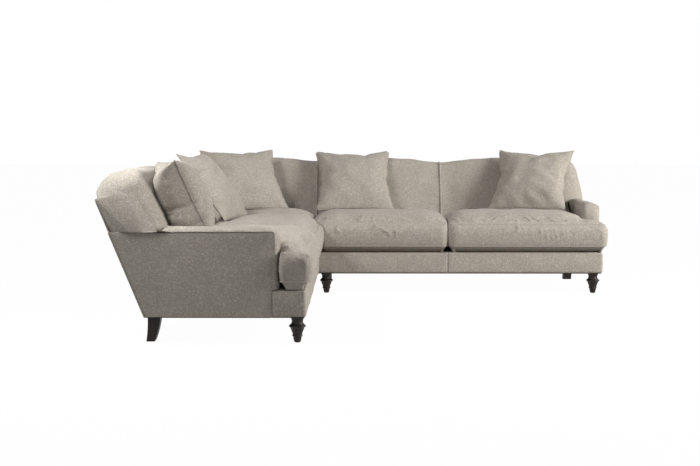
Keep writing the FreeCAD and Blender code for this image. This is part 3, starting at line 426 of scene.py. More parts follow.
def back_section(drop, tuck, shrink=0.0, fall=0.0, hide=PAD_BEHIND):
    """A back pad's side outline as (depth, height) points, and how many of them make the seen skin.

    A sewn seam drops the crown and tucks the face in; at a rounded end the outline shrinks and falls. The
    last points are the hidden sides, which lie hide in front of the outside back.
    """
    low = PLATFORM + HAIR
    brow = BROW - drop * 0.9 - fall
    crown = BACK_HEIGHT - drop - fall
    brow_depth = face_depth(BROW) + tuck + shrink * 0.6
    crown_depth = face_depth(BROW) + 0.063 + tuck * 0.5 + shrink * 0.1
    waist = (low + brow) / 2
    waist_depth = (face_depth(PLATFORM) + brow_depth) / 2 - 0.014 + tuck
    roll = ROLL_SEAM + 0.036 * (crown - ROLL_SEAM) / 0.142
    outer = BACK_DEPTH - shrink
    shoulder = (roll + crown) / 2 + (crown - roll) * 0.17
    shoulder_depth = (crown_depth + outer) / 2 + (outer - crown_depth) * 0.19
    seam_depth = outside_depth(ROLL_SEAM) - shrink * 0.5
    keys = [
        (face_depth(PLATFORM) + tuck, low),
        ((face_depth(PLATFORM) + tuck + waist_depth) / 2 - 0.003, (low + waist) / 2),
        (waist_depth, waist),
        ((waist_depth + brow_depth) / 2 - 0.004, (waist + brow) / 2),
        (brow_depth, brow),
        (brow_depth + (crown_depth - brow_depth) * 0.4, brow + (crown - brow) * 0.78),
        (crown_depth, crown),
        (shoulder_depth, shoulder),
        (outer, roll),
        ((outer + seam_depth) / 2 + 0.0012, (roll + ROLL_SEAM) / 2),
        (seam_depth, ROLL_SEAM),
    ]
    skin = spline(keys, [9, 9, 9, 9, 7, 7, 10, 10, 5, 4])
    inner_low = outside_depth(PLATFORM) - hide
    inner_high = outside_depth(ROLL_SEAM) - hide
    inside = [(inner_high + (hide - 0.008) * 0.6, ROLL_SEAM), (inner_high, ROLL_SEAM)]
    inside += [(inner_high + (inner_low - inner_high) * k / 5, ROLL_SEAM + (low - ROLL_SEAM) * k / 5)
               for k in range(1, 6)]
    return np.vstack([skin, inside]), len(skin)


def gather_at(run, seams):
    """How far the sewn seams, given as places and depths, draw the pad in at this run."""
    return max(depth * max(0.0, 1 - abs(run - place) / GATHER_WIDTH) ** 1.6 for place, depth in seams)


def soften(points, seed, amount, length=0.16):
    """Broad soft lumps of a padded surface."""
    return waves(points, seed, length) * amount


def outward(rings):
    """Normals of a skin of rings."""
    ahead = np.gradient(rings, axis=0)
    around = np.roll(rings, -1, 1) - np.roll(rings, 1, 1)
    normal = np.cross(around, ahead)
    normal /= np.maximum(np.linalg.norm(normal, axis=2)[..., None], 1e-9)
    return normal


def back_runs(start, end, seams, step=0.012):
    """The runs of a pad's sections, closer together beside a seam."""
    runs = set(np.round(np.arange(start, end, step), 4).tolist() + [start, end])
    for place, _ in seams:
        for near in (0.002, 0.005, 0.009, 0.014, 0.020, 0.028):
            for way in (-1, 1):
                if start < place + way * near < end:
                    runs.add(round(place + way * near, 4))
        if start < place < end:
            runs.add(place)
    return sorted(runs)


def seam_notch(distance):
    """The narrow valley that a sewn seam pulls into a pad."""
    return -0.010 * np.exp(-(distance / 0.004) ** 2) - 0.004 * np.exp(-(distance / 0.03) ** 2)


def sewn_sections(start, end, seams):
    """The rings of a back pad between two runs, and how many points of a ring make the seen skin."""
    rings = []
    for run in back_runs(start, end, seams):
        draw = gather_at(run, seams)
        section, skin = back_section(draw, draw * 0.3)
        rings.append(np.column_stack([np.full(len(section), run), section]))
    return rings, skin


def back_cover(name, node, rings, left):
    piece = tube_of_rings(name, on_wing(rings, left), FABRIC, flip=left, sharp=60)
    dress(piece, "sofa_frame", [node])


def arm_unit_back(left):
    """The back pad of an arm unit, sewn in its middle and rounded over at the arm's end."""
    start = -BACK_SEAM + HAIR
    end = WING - 0.012
    rounding = 0.120
    bends = 14
    closings = (0.03, 0.07, 0.12, 0.19, 0.28, 0.40, 0.55, 0.72, 0.88)
    seams = [(start, END_GATHER), (SPLIT, SPLIT_GATHER)]
    rings, skin = sewn_sections(start, end - rounding, seams)
    for step in range(1, bends + 1):
        angle = math.radians(70 * step / bends)
        run = end - rounding * (1 - math.sin(angle))
        share = 1 - math.cos(angle)
        # The last section reaches out to the outside back, so that its end closes over the frame.
        hide = 0.0085 if step == bends else PAD_BEHIND
        section, _ = back_section(0.0, 0.0, 0.060 * share, 0.165 * share, hide)
        rings.append(np.column_stack([np.full(len(section), run), section]))
    rings = np.array(rings)
    # The end closes in rings that shrink to its middle.
    last = rings[-1]
    centre = 0.5 * (last[:skin].min(0) + last[:skin].max(0))
    middle = 0.15 * last + 0.85 * centre
    for share in closings:
        closer = last + (middle - last) * share
        closer[:, 0] = last[0, 0] + 0.034 * math.sin(share * math.pi / 2)
        rings = np.concatenate([rings, closer[None]])
    normal = outward(rings)
    run = rings[..., 0]
    shown = np.zeros(rings.shape[:2])
    shown[:, 1:skin - 1] = 1
    lift = soften(rings, 11, 0.0016) * shown
    for place, _ in seams:
        lift += seam_notch(run - place) * shown
    near_seam = np.exp(-np.abs(run - SPLIT) / 0.07)
    lift += shown * near_seam * 0.0016 * waves(rings, 12, 0.05, (3.0, 1.0, 1.0))
    # Pleats that run round the rounded end.
    at_end = smooth(run, end - 0.16, end - 0.02)
    pleat = creases(rings, 13 if left else 14, 0.075, (2.2, 2.2, 0.75))
    lift += shown * at_end * (pleat * 0.0035 - 0.001)
    closed = len(closings)
    lift[-closed:] *= np.linspace(0.8, 0.0, closed)[:, None]
    rings = rings + normal * lift[..., None]
    # The closing rings stay above the arm, and below its edge the pad stops at the arm's frame.
    rings[-closed:, :, 2] = np.maximum(rings[-closed:, :, 2], ARM_EDGE + 0.0005)
    beside_arm = (rings[..., 0] > WING - 0.035) & (rings[..., 2] < ARM_EDGE)
    rings[..., 0] = np.where(beside_arm, WING - 0.0352, rings[..., 0])
    back_cover(hand_of(left) + "_back_cover", hand_of(left) + "_back_pad", rings, left)


for is_left in (False, True):
    arm_unit_back(is_left)


def corner_back(left):
    """A back pad of the corner unit, from its sewn seam to the mitre where the two corner backs meet."""
    start = -BACK_DEPTH
    end = -BACK_SEAM - HAIR
    rings, skin = sewn_sections(start, end, [(end, END_GATHER)])
    rings = np.array(rings)
    normal = outward(rings)
    shown = np.zeros(rings.shape[:2])
    shown[:, 1:skin - 1] = 1
    lift = soften(rings, 21, 0.0015) * shown + seam_notch(rings[..., 0] - end) * shown
    rings = rings + normal * lift[..., None]
    # Every lengthwise line ends on the mitre plane, run = -depth, instead of at the pad's start.
    limit = -rings[..., 1] - 0.0002
    share = (rings[..., 0] - start) / (end - start)
    rings[..., 0] = limit[-1][None, :] + (end - limit[-1][None, :]) * share
    rings[..., 0] = np.maximum(rings[..., 0], limit)
    side = "side" if left else "rear"
    back_cover("corner_%s_cover" % side, "corner_%s_back_pad" % side, rings, left)


for is_left in (False, True):
    corner_back(is_left)


# Seat cushions.
def edge_rise(distance, reach):
    """A quarter ellipse: 0 at the edge, 1 from reach inwards."""
    x = np.clip(distance / reach, 0, 1)
    return np.sqrt(np.maximum(0, 1 - (1 - x) ** 2))


def ease(distance, reach):
    """A parabola: 0 at the edge, 1 from reach inwards."""
    x = np.clip(distance / reach, 0, 1)
    return x * (2 - x)


def seat_cushion(name, corners, radii, centre, crown_at, left, seed):
    """A boxed cushion: flat below, a bulging border above a welted seam and a soft crown."""
    outline, normal = rounded_outline(corners, radii)
    count = len(outline)
    centre = np.array(centre)
    rings = []
    bottom = PLATFORM + 0.0006

    def ring(plan, height):
        rings.append(np.column_stack([plan, np.broadcast_to(height, count)]))

    # The front is drawn in further below and bulges more than the sides.
    fore = np.clip(-normal[:, 1:], 0, 1) * (outline[:, 1:] < 0.02)
    under = 0.030 + 0.032 * fore
    full = 0.004 + 0.007 * fore
    seen = np.maximum(fore, np.clip(normal[:, :1], 0, 1) * (outline[:, :1] > WING))
    brow = 0.003 + 0.014 * seen
    base = outline - normal * under
    below = (0.96, 0.7, 0.4, 0.15, 0.0)
    for share in below:
        ring(base + (centre - base) * share, bottom)
    for step in range(7, 0, -1):
        share = step / 8
        ring(outline - normal * under * share ** 0.75, SEAT_LOW - (SEAT_LOW - bottom) * share ** 1.15)
    for share in np.linspace(0, 1, 19):
        bulge = full * (1 - ((share - 0.55) / 0.55) ** 2) - 0.0025 * math.exp(-share / 0.05)
        bulge = bulge - brow * (max(0.0, share - 0.62) / 0.38) ** 2.4
        ring(outline + normal * bulge, SEAT_LOW + (SEAT_HIGH - SEAT_LOW) * share)
    for step in range(1, 41):
        share = 1 - math.cos(math.radians(90 * step / 40.5))
        plan = outline + (centre - outline) * share
        offset = full * 0.33 - brow
        ring(plan + normal * offset * (1 - share) ** 8, SEAT_HIGH + crown_at(plan))
    rings = np.array(rings)
    normals = outward(rings)
    # Upright rucks on the border, then puckers and a soft unevenness on the top.
    height = rings[..., 2]
    on_wall = smooth(height, SEAT_LOW + 0.01, SEAT_LOW + 0.05) * (1 - smooth(height, SEAT_HIGH - 0.004, SEAT_HIGH))
    ruck = creases(rings, seed + 3, 0.05, (1.0, 1.0, 3.2))
    fade = smooth(height, SEAT_LOW + 0.02, SEAT_HIGH - 0.02)
    patch = np.clip(waves(rings, seed + 4, 0.35), 0, 1)
    lift = on_wall * ruck * patch * (0.0015 + 0.0085 * fade)
    top = smooth(height, SEAT_HIGH + 0.002, SEAT_HIGH + 0.03)
    near_edge = 1 - smooth(height, SEAT_HIGH + 0.025, SEAT_CROWN - 0.004)
    lift += top * near_edge * creases(rings, seed + 5, 0.07, (1.6, 1.2, 1.0)) * 0.008
    lift += top * waves(rings, seed + 6, 0.22) * 0.0022
    lift[:len(below)] = 0
    rings = rings + normals * lift[..., None]
    rings[..., 2] = np.maximum(rings[..., 2], bottom)
    piece = tube_of_rings(name, on_wing(rings, left), FABRIC, flip=not left, sharp=70)
    dress(piece, name, [name + "_cushion"])
    path = np.column_stack([outline - normal * 0.0012, np.full(count, SEAT_LOW)])
    cord = welt(name + "_welt", on_wing(path, left), 0.0034, FABRIC, closed=True)
    dress(cord, name)


SEAT_BACK = face_depth(SEAT_HIGH) - 0.0148
RISE = SEAT_CROWN - SEAT_HIGH


def straight_crown(low, high, front, back):
    """The crown's rise over a straight cushion, easy at the front and fuller at the sides."""
    def crown_at(plan):
        rise = edge_rise(plan[:, 0] - low, 0.17) * edge_rise(high - plan[:, 0], 0.17)
        rise = rise * ease(plan[:, 1] - front - 0.010, 0.15) * edge_rise(back - plan[:, 1], 0.33)
        return RISE * rise * (0.3 + 0.7 * smooth(plan[:, 1] - front, 0.004, 0.045))
    return crown_at


def mid_seat(left):
    """The cushion beside the corner, notched for the corner unit's seat."""
    low = -0.030 + CLEAR
    high = SPLIT - CLEAR
    corners = [(0.0334, SEAT_FRONT), (high, SEAT_FRONT), (high, SEAT_BACK), (low, SEAT_BACK), (low, 0.0302)]
    crown = straight_crown(low, high, SEAT_FRONT, SEAT_BACK)
    seat_cushion(hand_of(left) + "_mid_seat", corners, [0.022, 0.045, 0.030, 0.030, 0.022], (0.40, 0.28), crown,
                 left, 31 + left)


def end_seat(left):
    """The T-shaped cushion at the arm: its ear reaches round in front of the arm."""
    low = SPLIT + CLEAR
    high = ARM_INNER - CLEAR
    outer = WING + 0.023
    notch = ARM_FRONT - 0.003
    main = straight_crown(low, high, SEAT_FRONT, SEAT_BACK)

    def end_crown(plan):
        ear = ease(outer - plan[:, 0], 0.085) * ease(plan[:, 1] - SEAT_FRONT, 0.085)
        ear = ear * edge_rise(notch - plan[:, 1], 0.03) * edge_rise(plan[:, 0] - low, 0.17)
        ear = np.where(plan[:, 1] < notch, ear, 0)
        return np.maximum(main(plan), (EAR_CROWN - SEAT_HIGH) * ear)

    corners = [(low, SEAT_FRONT), (outer, SEAT_FRONT), (outer, notch), (high, notch), (high, SEAT_BACK),
               (low, SEAT_BACK)]
    seat_cushion(hand_of(left) + "_end_seat", corners, [0.045, 0.040, 0.030, 0.006, 0.030, 0.030], (1.24, 0.07),
                 end_crown, left, 35 + left)


def corner_seat():
    near = 0.030 + CLEAR

    def square_crown(plan):
        rise = edge_rise(plan[:, 0] + SEAT_BACK, 0.25) * edge_rise(-near - plan[:, 0], 0.17)
        rise = rise * edge_rise(plan[:, 1] - near, 0.17) * edge_rise(SEAT_BACK - plan[:, 1], 0.25)
        return RISE * rise

    corners = [(-SEAT_BACK, near), (-near, near), (-near, SEAT_BACK), (-SEAT_BACK, SEAT_BACK)]
    seat_cushion("corner_seat", corners, [0.030, 0.030, 0.030, 0.030], (-0.32, 0.32), square_crown, False, 41)


for is_left in (False, True):
    mid_seat(is_left)
    end_seat(is_left)
corner_seat()


# Scatter cushions.
HALF_SHEET = 0.25
SHEET_SIZE = 53
SCATTER_SIDE = 0.522
BLOW_FRAMES = 26


def pillow_cloth(size, seed):
    """Two flat square sheets of cloth sewn along their rim: both grids of vertex numbers, and the places."""
    rng = np.random.default_rng(seed)
    line = np.linspace(-1, 1, size)
    a, b = np.meshgrid(line, line, indexing="ij")
    rim = (np.abs(a) > 0.999) | (np.abs(b) > 0.999)
    lift = 0.012 * (1 - a ** 4) * (1 - b ** 4) + rng.normal(size=a.shape) * 0.0008 * ~rim
    front = np.arange(size * size).reshape(size, size)
    back = front.copy()
    back[~rim] = size * size + np.arange((~rim).sum())
    verts = np.stack([a * HALF_SHEET, b * HALF_SHEET, lift], -1)
    behind = verts[~rim] * (1, 1, -1)
    return front, back, np.vstack([verts.reshape(-1, 3), behind])


def sheet_faces(index, flip):
    quads = np.stack([index[:-1, :-1], index[:-1, 1:], index[1:, 1:], index[1:, :-1]], -1).reshape(-1, 4)
    return [tuple(int(k) for k in (quad[::-1] if flip else quad)) for quad in quads]


def inflate(name, verts, faces):
    """The places of the sewn sheets after air has filled them."""
    mesh = bpy.data.meshes.new(name)
    mesh.from_pydata([tuple(v) for v in verts], [], faces)
    cloth = bpy.data.objects.new(name, mesh)
    bpy.context.scene.collection.objects.link(cloth)
    modifier = cloth.modifiers.new("Cloth", "CLOTH")
    feel = modifier.settings
    feel.quality = 6
    feel.mass = 0.2
    feel.tension_stiffness = feel.compression_stiffness = 18
    feel.shear_stiffness = 6
    feel.bending_stiffness = 0.35
    feel.air_damping = 3
    feel.use_pressure = True
    feel.uniform_pressure_force = 4
    feel.effector_weights.gravity = 0
    modifier.collision_settings.use_collision = False
    modifier.point_cache.frame_start = 1
    modifier.point_cache.frame_end = BLOW_FRAMES
    for frame_number in range(1, BLOW_FRAMES + 1):
        bpy.context.scene.frame_set(frame_number)
    shape = cloth.evaluated_get(bpy.context.evaluated_depsgraph_get())
    filled = np.array([v.co[:] for v in shape.data.vertices])
    bpy.data.objects.remove(cloth)
    bpy.data.meshes.remove(mesh)
    return filled


def filled_shape(flat, filled, seed, height, front, behind, skew, sag):
    """The blown-up sheets, set to a cushion's size; its lower edge lies on y = 0."""
    # Half of the sheets' own draw-in is kept.
    reach = np.abs(filled[[0, SHEET_SIZE - 1, -1], :2]).max()
    shape = flat.copy()
    shape[:, :2] = flat[:, :2] * 0.5 + filled[:, :2] * (HALF_SHEET / reach) * 0.5
    # The lower edge lies straight along the seat.
    low = np.clip(-flat[:, 1] / HALF_SHEET, 0, 1) ** 0.5
    shape[:, 1] += (flat[:, 1] - shape[:, 1]) * low * 0.9
    shape[:, 0] *= SCATTER_SIDE / 0.5
    shape[:, 1] *= height / 0.5
    # The cloth's folds are kept at half their depth, over an even swell.
    rise = filled[:, 2]
    across = np.abs(flat[:, :2]) / HALF_SHEET
    even = ((1 - across[:, 0] ** 2.3) * (1 - across[:, 1] ** 2.3)) ** (0.42 if skew else 0.62)
    toward = shape[:, 0] / (SCATTER_SIDE / 2)
    fore = front * (0.5 * rise / rise.max() + 0.5 * even)
    rear = np.maximum(0, 0.5 * rise / rise.min() + 0.5 * even) ** (0.6 if skew else 1.0)
    rear = -behind * rear * (1 + skew * toward)
    shape[:, 2] = np.where(rise > 0, fore, rear)
    shape[:, 2] += waves(shape, seed + 9, 0.12) * 0.0022 * np.clip(np.abs(shape[:, 2]) / 0.02, 0, 1)
    shape[:, 1] -= sag * np.clip(-toward, 0, 1) * np.clip(0.5 + shape[:, 1] / height, 0, 1) ** 2
    shape[:, 1] += height / 2
    return shape


def scatter(place, foot, forward, drop, lean, turn, left=False, seed=1, height=0.488, front=0.078,
            behind=0.046, skew=0.0, sag=0.0):
    """A feather cushion blown up from two sewn sheets: knife edges, puckered sides and pointed corners.

    It stands foot along the wing and forward of the back's face, leans back and is turned. Skew makes its back
    fuller towards the wing's end and sag lowers its other upper corner.
    """
    name = place + "_scatter_cover"
    body = place + "_scatter"
    front_index, back_index, flat = pillow_cloth(SHEET_SIZE, seed)
    faces = sheet_faces(front_index, False) + sheet_faces(back_index, True)
    filled = inflate(name, flat, faces)
    shape = filled_shape(flat, filled, seed, height, front, behind, skew, sag)
    lean_turn = Matrix.Rotation(math.radians(turn), 4, "Z") @ Matrix.Rotation(math.radians(90 - lean), 4, "X")
    depth = face_depth(SEAT_CROWN) - forward
    stand = Matrix.Translation((CORNER_X + foot, CORNER_Y + depth, SEAT_CROWN - drop)) @ lean_turn
    if left:
        stand = Matrix(((0, -1, 0, 0), (-1, 0, 0, 0), (0, 0, 1, 0), (0, 0, 0, 1))) @ stand
        faces = [face[::-1] for face in faces]
    turned = np.array(stand)
    placed = shape @ turned[:3, :3].T + turned[:3, 3]
    # Where it leans on a back, the cushion is pressed flat against the face.
    limit = face_depth(np.minimum(placed[:, 2], BROW)) - 0.017 + np.maximum(0, placed[:, 2] - BROW) * 3
    if left or place == "corner":
        placed[:, 0] = np.maximum(placed[:, 0], CORNER_X - limit)
    if not left:
        placed[:, 1] = np.minimum(placed[:, 1], CORNER_Y + limit)
    piece = make_mesh(name, placed, faces, FABRIC, 100)
    smoother = piece.modifiers.new("Round", "SUBSURF")
    smoother.levels = smoother.render_levels = 1
    dress(piece, body, [body + "_cushion"])
    edge = np.concatenate([
        front_index[:, 0], front_index[-1, 1:], front_index[-2::-1, -1], front_index[0, -2:0:-1]])
    cord = welt(name + "_seam", placed[edge], 0.0018, FABRIC, closed=True, sides=6)
    dress(cord, body)


scatter("right_mid", 0.233, 0.188, 0.0122, 38, 4, seed=51)
scatter("right_end", ARM_INNER - 0.318, 0.262, 0.0053, 38, -20, seed=52)
scatter("corner", -0.446, 0.352, 0.0003, 38, 25, seed=53)
scatter("left_mid", 0.268, 0.190, 0.0121, 37, 10, left=True, seed=54)
scatter("left_end", ARM_INNER - 0.267, 0.122, 0.0123, 25, -20, left=True, seed=55, height=0.425, front=0.120,
        behind=0.125, skew=0.55, sag=0.03)


# Arms.
def arm_cover(left):
    """The arm's cushion: a domed band over its top and down its front, and the inner side."""
    low = PLATFORM + HAIR
    back_low = face_depth(PLATFORM) - 0.015
    back_high = face_depth(ARM_TOP) - 0.015
    # Points of the band that is seen: up the front, round the corner and along the top.
    front_points, round_points, top_points = 16, 11, 40
    band = front_points + round_points + top_points

    def side_outline(front, radius):
        outline = []
        for share in np.linspace(0, 1, front_points):
            outline.append((front, low + (ARM_SEAM - radius - low) * share))
        for k in range(1, round_points + 1):
            angle = math.radians(90 * k / (round_points + 1))
            outline.append((front + radius * (1 - math.cos(angle)), ARM_SEAM - radius + radius * math.sin(angle)))
        for share in np.linspace(0, 1, top_points):
            start = front + radius
            outline.append((start + (back_high - start) * share, ARM_SEAM))
        for share in np.linspace(0.12, 1, 12):
            outline.append((back_high + (back_low - back_high) * share, ARM_SEAM + (low - ARM_SEAM) * share))
        for share in np.linspace(0.1, 0.9, 9):
            outline.append((back_low + (front - back_low) * share, low))
        return np.array(outline)

    middle = side_outline(ARM_FRONT, 0.046)
    outer = side_outline(ARM_FRONT + 0.018, 0.017)
    count = len(middle)
    domed = np.zeros(count)
    domed[:band] = 1
    on_top = np.zeros(count)
    on_top[front_points:band] = smooth(np.arange(band - front_points), 0, 14)
    rings = []
    width = WING - ARM_INNER
    inner_round = 0.028
    shares = np.concatenate([
        [0.0, 0.01, 0.03, 0.06, 0.1, 0.15, 0.2, 0.26], np.linspace(0.32, 0.92, 13), [0.96, 0.985, 1.0]])
    for share in shares:
        blend = max(0.0, 2 * share - 1) ** 2.2
        outline = middle * (1 - blend) + outer * blend
        ahead = np.gradient(outline, axis=0)
        ahead /= np.linalg.norm(ahead, axis=1)[:, None]
        away = np.stack([-ahead[:, 1], ahead[:, 0]], 1)
        dome = 1 - (2 * share - 1) ** 2
        near = max(0.0, inner_round - share * width)
        inset = inner_round - math.sqrt(inner_round ** 2 - near ** 2)
        inset += 0.005 * (1 - min(1, (1 - share) / 0.04)) ** 2
        rise = 0.019 * on_top * dome
        plan = outline + away * ((rise - inset) * domed)[:, None]
        rings.append(np.column_stack([np.full(count, ARM_INNER + width * share), plan]))
    core = np.array([ARM_INNER, 0.36, 0.40])
    rings = [rings[0] + (core - rings[0]) * share for share in (0.95, 0.7, 0.4, 0.15, 0.04)] + rings
    rings = np.array(rings)
    rings[..., 2] = np.maximum(rings[..., 2], low)
    normals = outward(rings)
    shown = np.zeros(rings.shape[:2])
    shown[7:-2, :band] = 1
    rings = rings - normals * (waves(rings, 61, 0.12) * 0.0008 * shown)[..., None]
    # Behind the front band the outer side gives way to the arm's panel.
    behind = rings[..., 1] > BORDER_END - 0.0002
    under_panel = (rings[..., 0] > WING - 0.0102) & behind & (rings[..., 2] < ARM_SEAM - 0.004)
    rings[..., 0] = np.where(under_panel, WING - 0.0104, rings[..., 0])
    hand = hand_of(left)
    piece = tube_of_rings(hand + "_arm_cover", on_wing(rings, left), FABRIC, flip=not left, sharp=60)
    dress(piece, "sofa_frame", [hand + "_arm_pad"])
    path = outline[:band] + away[:band] * -0.003
    path = np.column_stack([np.full(band, WING - 0.0022), path])
    cord = welt(hand + "_arm_welt", on_wing(path, left), 0.0026, FABRIC)
    dress(cord, "sofa_frame")


for is_left in (False, True):
    arm_cover(is_left)


# Panels and the base border.
def paint_hem_shade(piece):
    """The lowest edge of the fabric takes the black dust cloth as painted shade: the dark line of shadow under the
    hem.
    """
    piece.data.materials.append(DUST_CLOTH_AND_HEM_SHADE)
    for face in piece.data.polygons:
        if face.center.z < BASE_LOW + 0.0045:
            face.material_index = 1


def puffed_panel(name, node, corners, radii, thick, puff, to_wing, left, flip, seed):
    """A flat upholstered panel with soft edges; to_wing turns (along, up, out) into run, depth, height."""
    outline, normal = rounded_outline(corners, radii, 0.012)
    centre = outline.mean(0)
    round_edge = 0.004
    rings = []
    for share in (0.98, 0.6, 0.25, 0.0):
        plan = outline + (centre - outline) * share
        rings.append(np.column_stack([plan, np.zeros(len(plan))]))
    for out in (0.3, 0.6):
        rings.append(np.column_stack([outline, np.full(len(outline), thick * out)]))
    for step in range(0, 5):
        angle = math.radians(90 * step / 4)
        plan = outline - normal * round_edge * (1 - math.cos(angle))
        rings.append(np.column_stack([plan, np.full(len(plan), thick - round_edge * (1 - math.sin(angle)))]))
    edge = outline - normal * round_edge
    for step in range(1, 25):
        share = (step / 24.5) ** 1.6
        plan = edge + (centre - edge) * share
        inward = np.linalg.norm(plan - outline, axis=1)
        rise = thick + puff * (1 - np.exp(-inward / 0.03))
        flat = np.column_stack([plan, rise])
        flat[:, 2] += waves(flat, seed, 0.22) * 0.0008 * (1 - np.exp(-inward / 0.03))
        rings.append(flat)
    placed = on_wing(to_wing(np.array(rings)), left)
    piece = tube_of_rings(name, placed, FABRIC, flip=flip, sharp=45)
    # The panel's lowest edge turns black: painted shade under the hem.
    paint_hem_shade(piece)
    dress(piece, "sofa_frame", [node])


def arm_panel(left):
    """The arm's outer side, from the border's end to the rake of the back."""
    hand = hand_of(left)
    front = BORDER_END + HAIR
    foot = outside_depth(BASE_LOW) - 0.0084
    top = outside_depth(ARM_EDGE) - 0.0084
    corners = [(front, BASE_LOW), (foot, BASE_LOW), (top, ARM_EDGE), (front, ARM_EDGE)]

    def to_wing(r):
        return np.stack([WING - 0.0100 + r[..., 2], r[..., 0], r[..., 1]], -1)

    puffed_panel(hand + "_arm_side", hand + "_arm_outer_panel", corners, [0.006, 0.006, 0.006, 0.014],
                 0.0085, 0.002, to_wing, left, not left, 71)


for is_left in (False, True):
    arm_panel(is_left)


def back_panel(name, corners, left):
    """The flat outside back, on the rake; along is the run and up the height."""
    def to_wing(r):
        out = outside_depth(r[..., 1]) - 0.008 + r[..., 2] * 0.93
        return np.stack([r[..., 0], out, r[..., 1]], -1)

    puffed_panel(name + "_cover", name + "_back", corners, [0.004] * len(corners), 0.008, 0.0015, to_wing,
                 left, left, 81)


def outside_backs(left):
    """Behind an arm unit, cut away over the arm's end, and behind the corner, mitred on the rake."""
    inset = WING - 0.016
    corners = [(HAIR, BASE_LOW), (WING, BASE_LOW), (WING, ARM_EDGE), (inset, ARM_EDGE), (inset, ROLL_SEAM),
               (HAIR, ROLL_SEAM)]
    back_panel(hand_of(left) + "_outside", corners, left)
    corners = [(-outside_depth(BASE_LOW) + 0.001, BASE_LOW), (-HAIR, BASE_LOW), (-HAIR, ROLL_SEAM),
               (-outside_depth(ROLL_SEAM) + 0.001, ROLL_SEAM)]
    back_panel("corner_%s_outside" % ("side" if left else "rear"), corners, left)


for is_left in (False, True):
    outside_backs(is_left)


def border(left):
    """The band round the base: its path turns the outer corner and ends under the arm."""
    turn = 0.016
    hem = 0.0044
    path = []
    ways = []
    at_seam = SPLIT + np.array([-0.006, -0.003, 0, 0.003, 0.006])
    for run in np.concatenate([
            np.linspace(HAIR, SPLIT - 0.012, 60), at_seam, np.linspace(SPLIT + 0.012, WING - turn, 70)]):
        path.append((run, 0.0))
        ways.append((0.0, -1.0))
    for k in range(1, 9):
        angle = math.radians(90 * k / 8)
        path.append((WING - turn + turn * math.sin(angle), turn - turn * math.cos(angle)))
        ways.append((math.sin(angle), -math.cos(angle)))
    for depth in np.linspace(turn + 0.006, BORDER_END - HAIR, 14):
        path.append((WING, depth))
        ways.append((1.0, 0.0))
    path = np.array(path)
    ways = np.array(ways)
    height = BASE_TOP - BASE_LOW
    rings = []
    for (run, depth), way in zip(path, ways):
        edge_round = 0.010 + 0.008 * run / WING
        lower = hem + edge_round
        profile = [(-0.0095, 0.0), (-0.0088, 0.0), (-0.0086, 0.0042)]
        for k in range(0, 7):
            angle = math.radians(90 * k / 6)
            profile.append((-0.0085 * (1 - math.sin(angle)), hem + edge_round * (1 - math.cos(angle))))
        for share in np.linspace(0.08, 0.92, 13):
            profile.append((0.0028 * math.sin(math.pi * share), lower + (height - edge_round - lower) * share))
        for k in range(0, 7):
            angle = math.radians(90 * k / 6)
            profile.append((-0.009 + 0.009 * math.cos(angle), height - edge_round * (1 - math.sin(angle))))
        profile.append((-0.0095, height))
        profile = np.array(profile)
        out = profile[:, 0].copy()
        shown = smooth(profile[:, 0], -0.006, -0.001)
        out += shown * -0.006 * math.exp(-((run - SPLIT) / 0.0035) ** 2) * (depth < 0.001)
        rings.append(np.column_stack([run + way[0] * out, depth + way[1] * out, BASE_LOW + profile[:, 1]]))
    rings = np.array(rings)
    bumpy = waves(rings, 91, 0.16) * 0.0009
    shown = smooth(profile[:, 0], -0.004, 0.0)[None, :]
    rings[..., 0] += ways[:, None, 0] * bumpy * shown
    rings[..., 1] += ways[:, None, 1] * bumpy * shown
    hand = hand_of(left)
    piece = tube_of_rings(hand + "_base_border", on_wing(rings, left), FABRIC, flip=left, sharp=50)
    # The border's lowest edge turns black: painted shade under the hem.
    paint_hem_shade(piece)
    dress(piece, "sofa_frame", [hand + "_front_border"])


for is_left in (False, True):
    border(is_left)


# Turned legs: radius and height of each turning, in metres.
LEG_SIDES = 48
TURNINGS = [
    (0.035, 0.126), (0.034, 0.122), (0.0305, 0.116), (0.028, 0.108), (0.0275, 0.102),
    (0.0285, 0.096), (0.032, 0.090), (0.037, 0.0855), (0.0408, 0.0825), (0.0415, 0.080), (0.0405, 0.0775),
    (0.037, 0.0745), (0.034, 0.072), (0.0332, 0.070), (0.0315, 0.064), (0.0285, 0.056), (0.0258, 0.049),
    (0.0236, 0.043), (0.0228, 0.0395), (0.0245, 0.0375), (0.0258, 0.0345), (0.0252, 0.0315),
    (0.0222, 0.0295), (0.0208, 0.027), (0.020, 0.020), (0.0185, 0.012), (0.0165, 0.005), (0.014, 0.0015),
    (0.0115, 0.0),
]


def turned_legs(node, places):
    angle = np.arange(LEG_SIDES) * 2 * math.pi / LEG_SIDES
    circle = np.stack([np.cos(angle), np.sin(angle)], 1)
    rows = len(TURNINGS)
    verts = []
    faces = []
    for place in places:
        start = len(verts)
        for radius, height in TURNINGS:
            verts += [(place[0] + radius * x, place[1] + radius * y, height) for x, y in circle]
        faces += grid_faces(rows, LEG_SIDES, True, True, start)
        faces.append(tuple(start + k for k in range(LEG_SIDES)))
        faces.append(tuple(start + (rows - 1) * LEG_SIDES + k for k in range(LEG_SIDES - 1, -1, -1)))
    piece = make_mesh(node + "_lathed", verts, faces, WOOD, 35)
    dress(piece, "sofa_frame", [node])


# The left unit's inner leg stands further back than the others.
for is_left in (False, True):
    inner_leg = (0.0487, 0.078 if is_left else 0.0453, 0.0)
    outer_leg = (WING - 0.0547, 0.0453, 0.0)
    turned_legs(hand_of(is_left) + "_turned_legs", on_wing(np.array([inner_leg, outer_leg]), is_left)[:, :2])
turned_legs("corner_turned_leg", [(CORNER_X - 0.075, CORNER_Y + 0.075)])


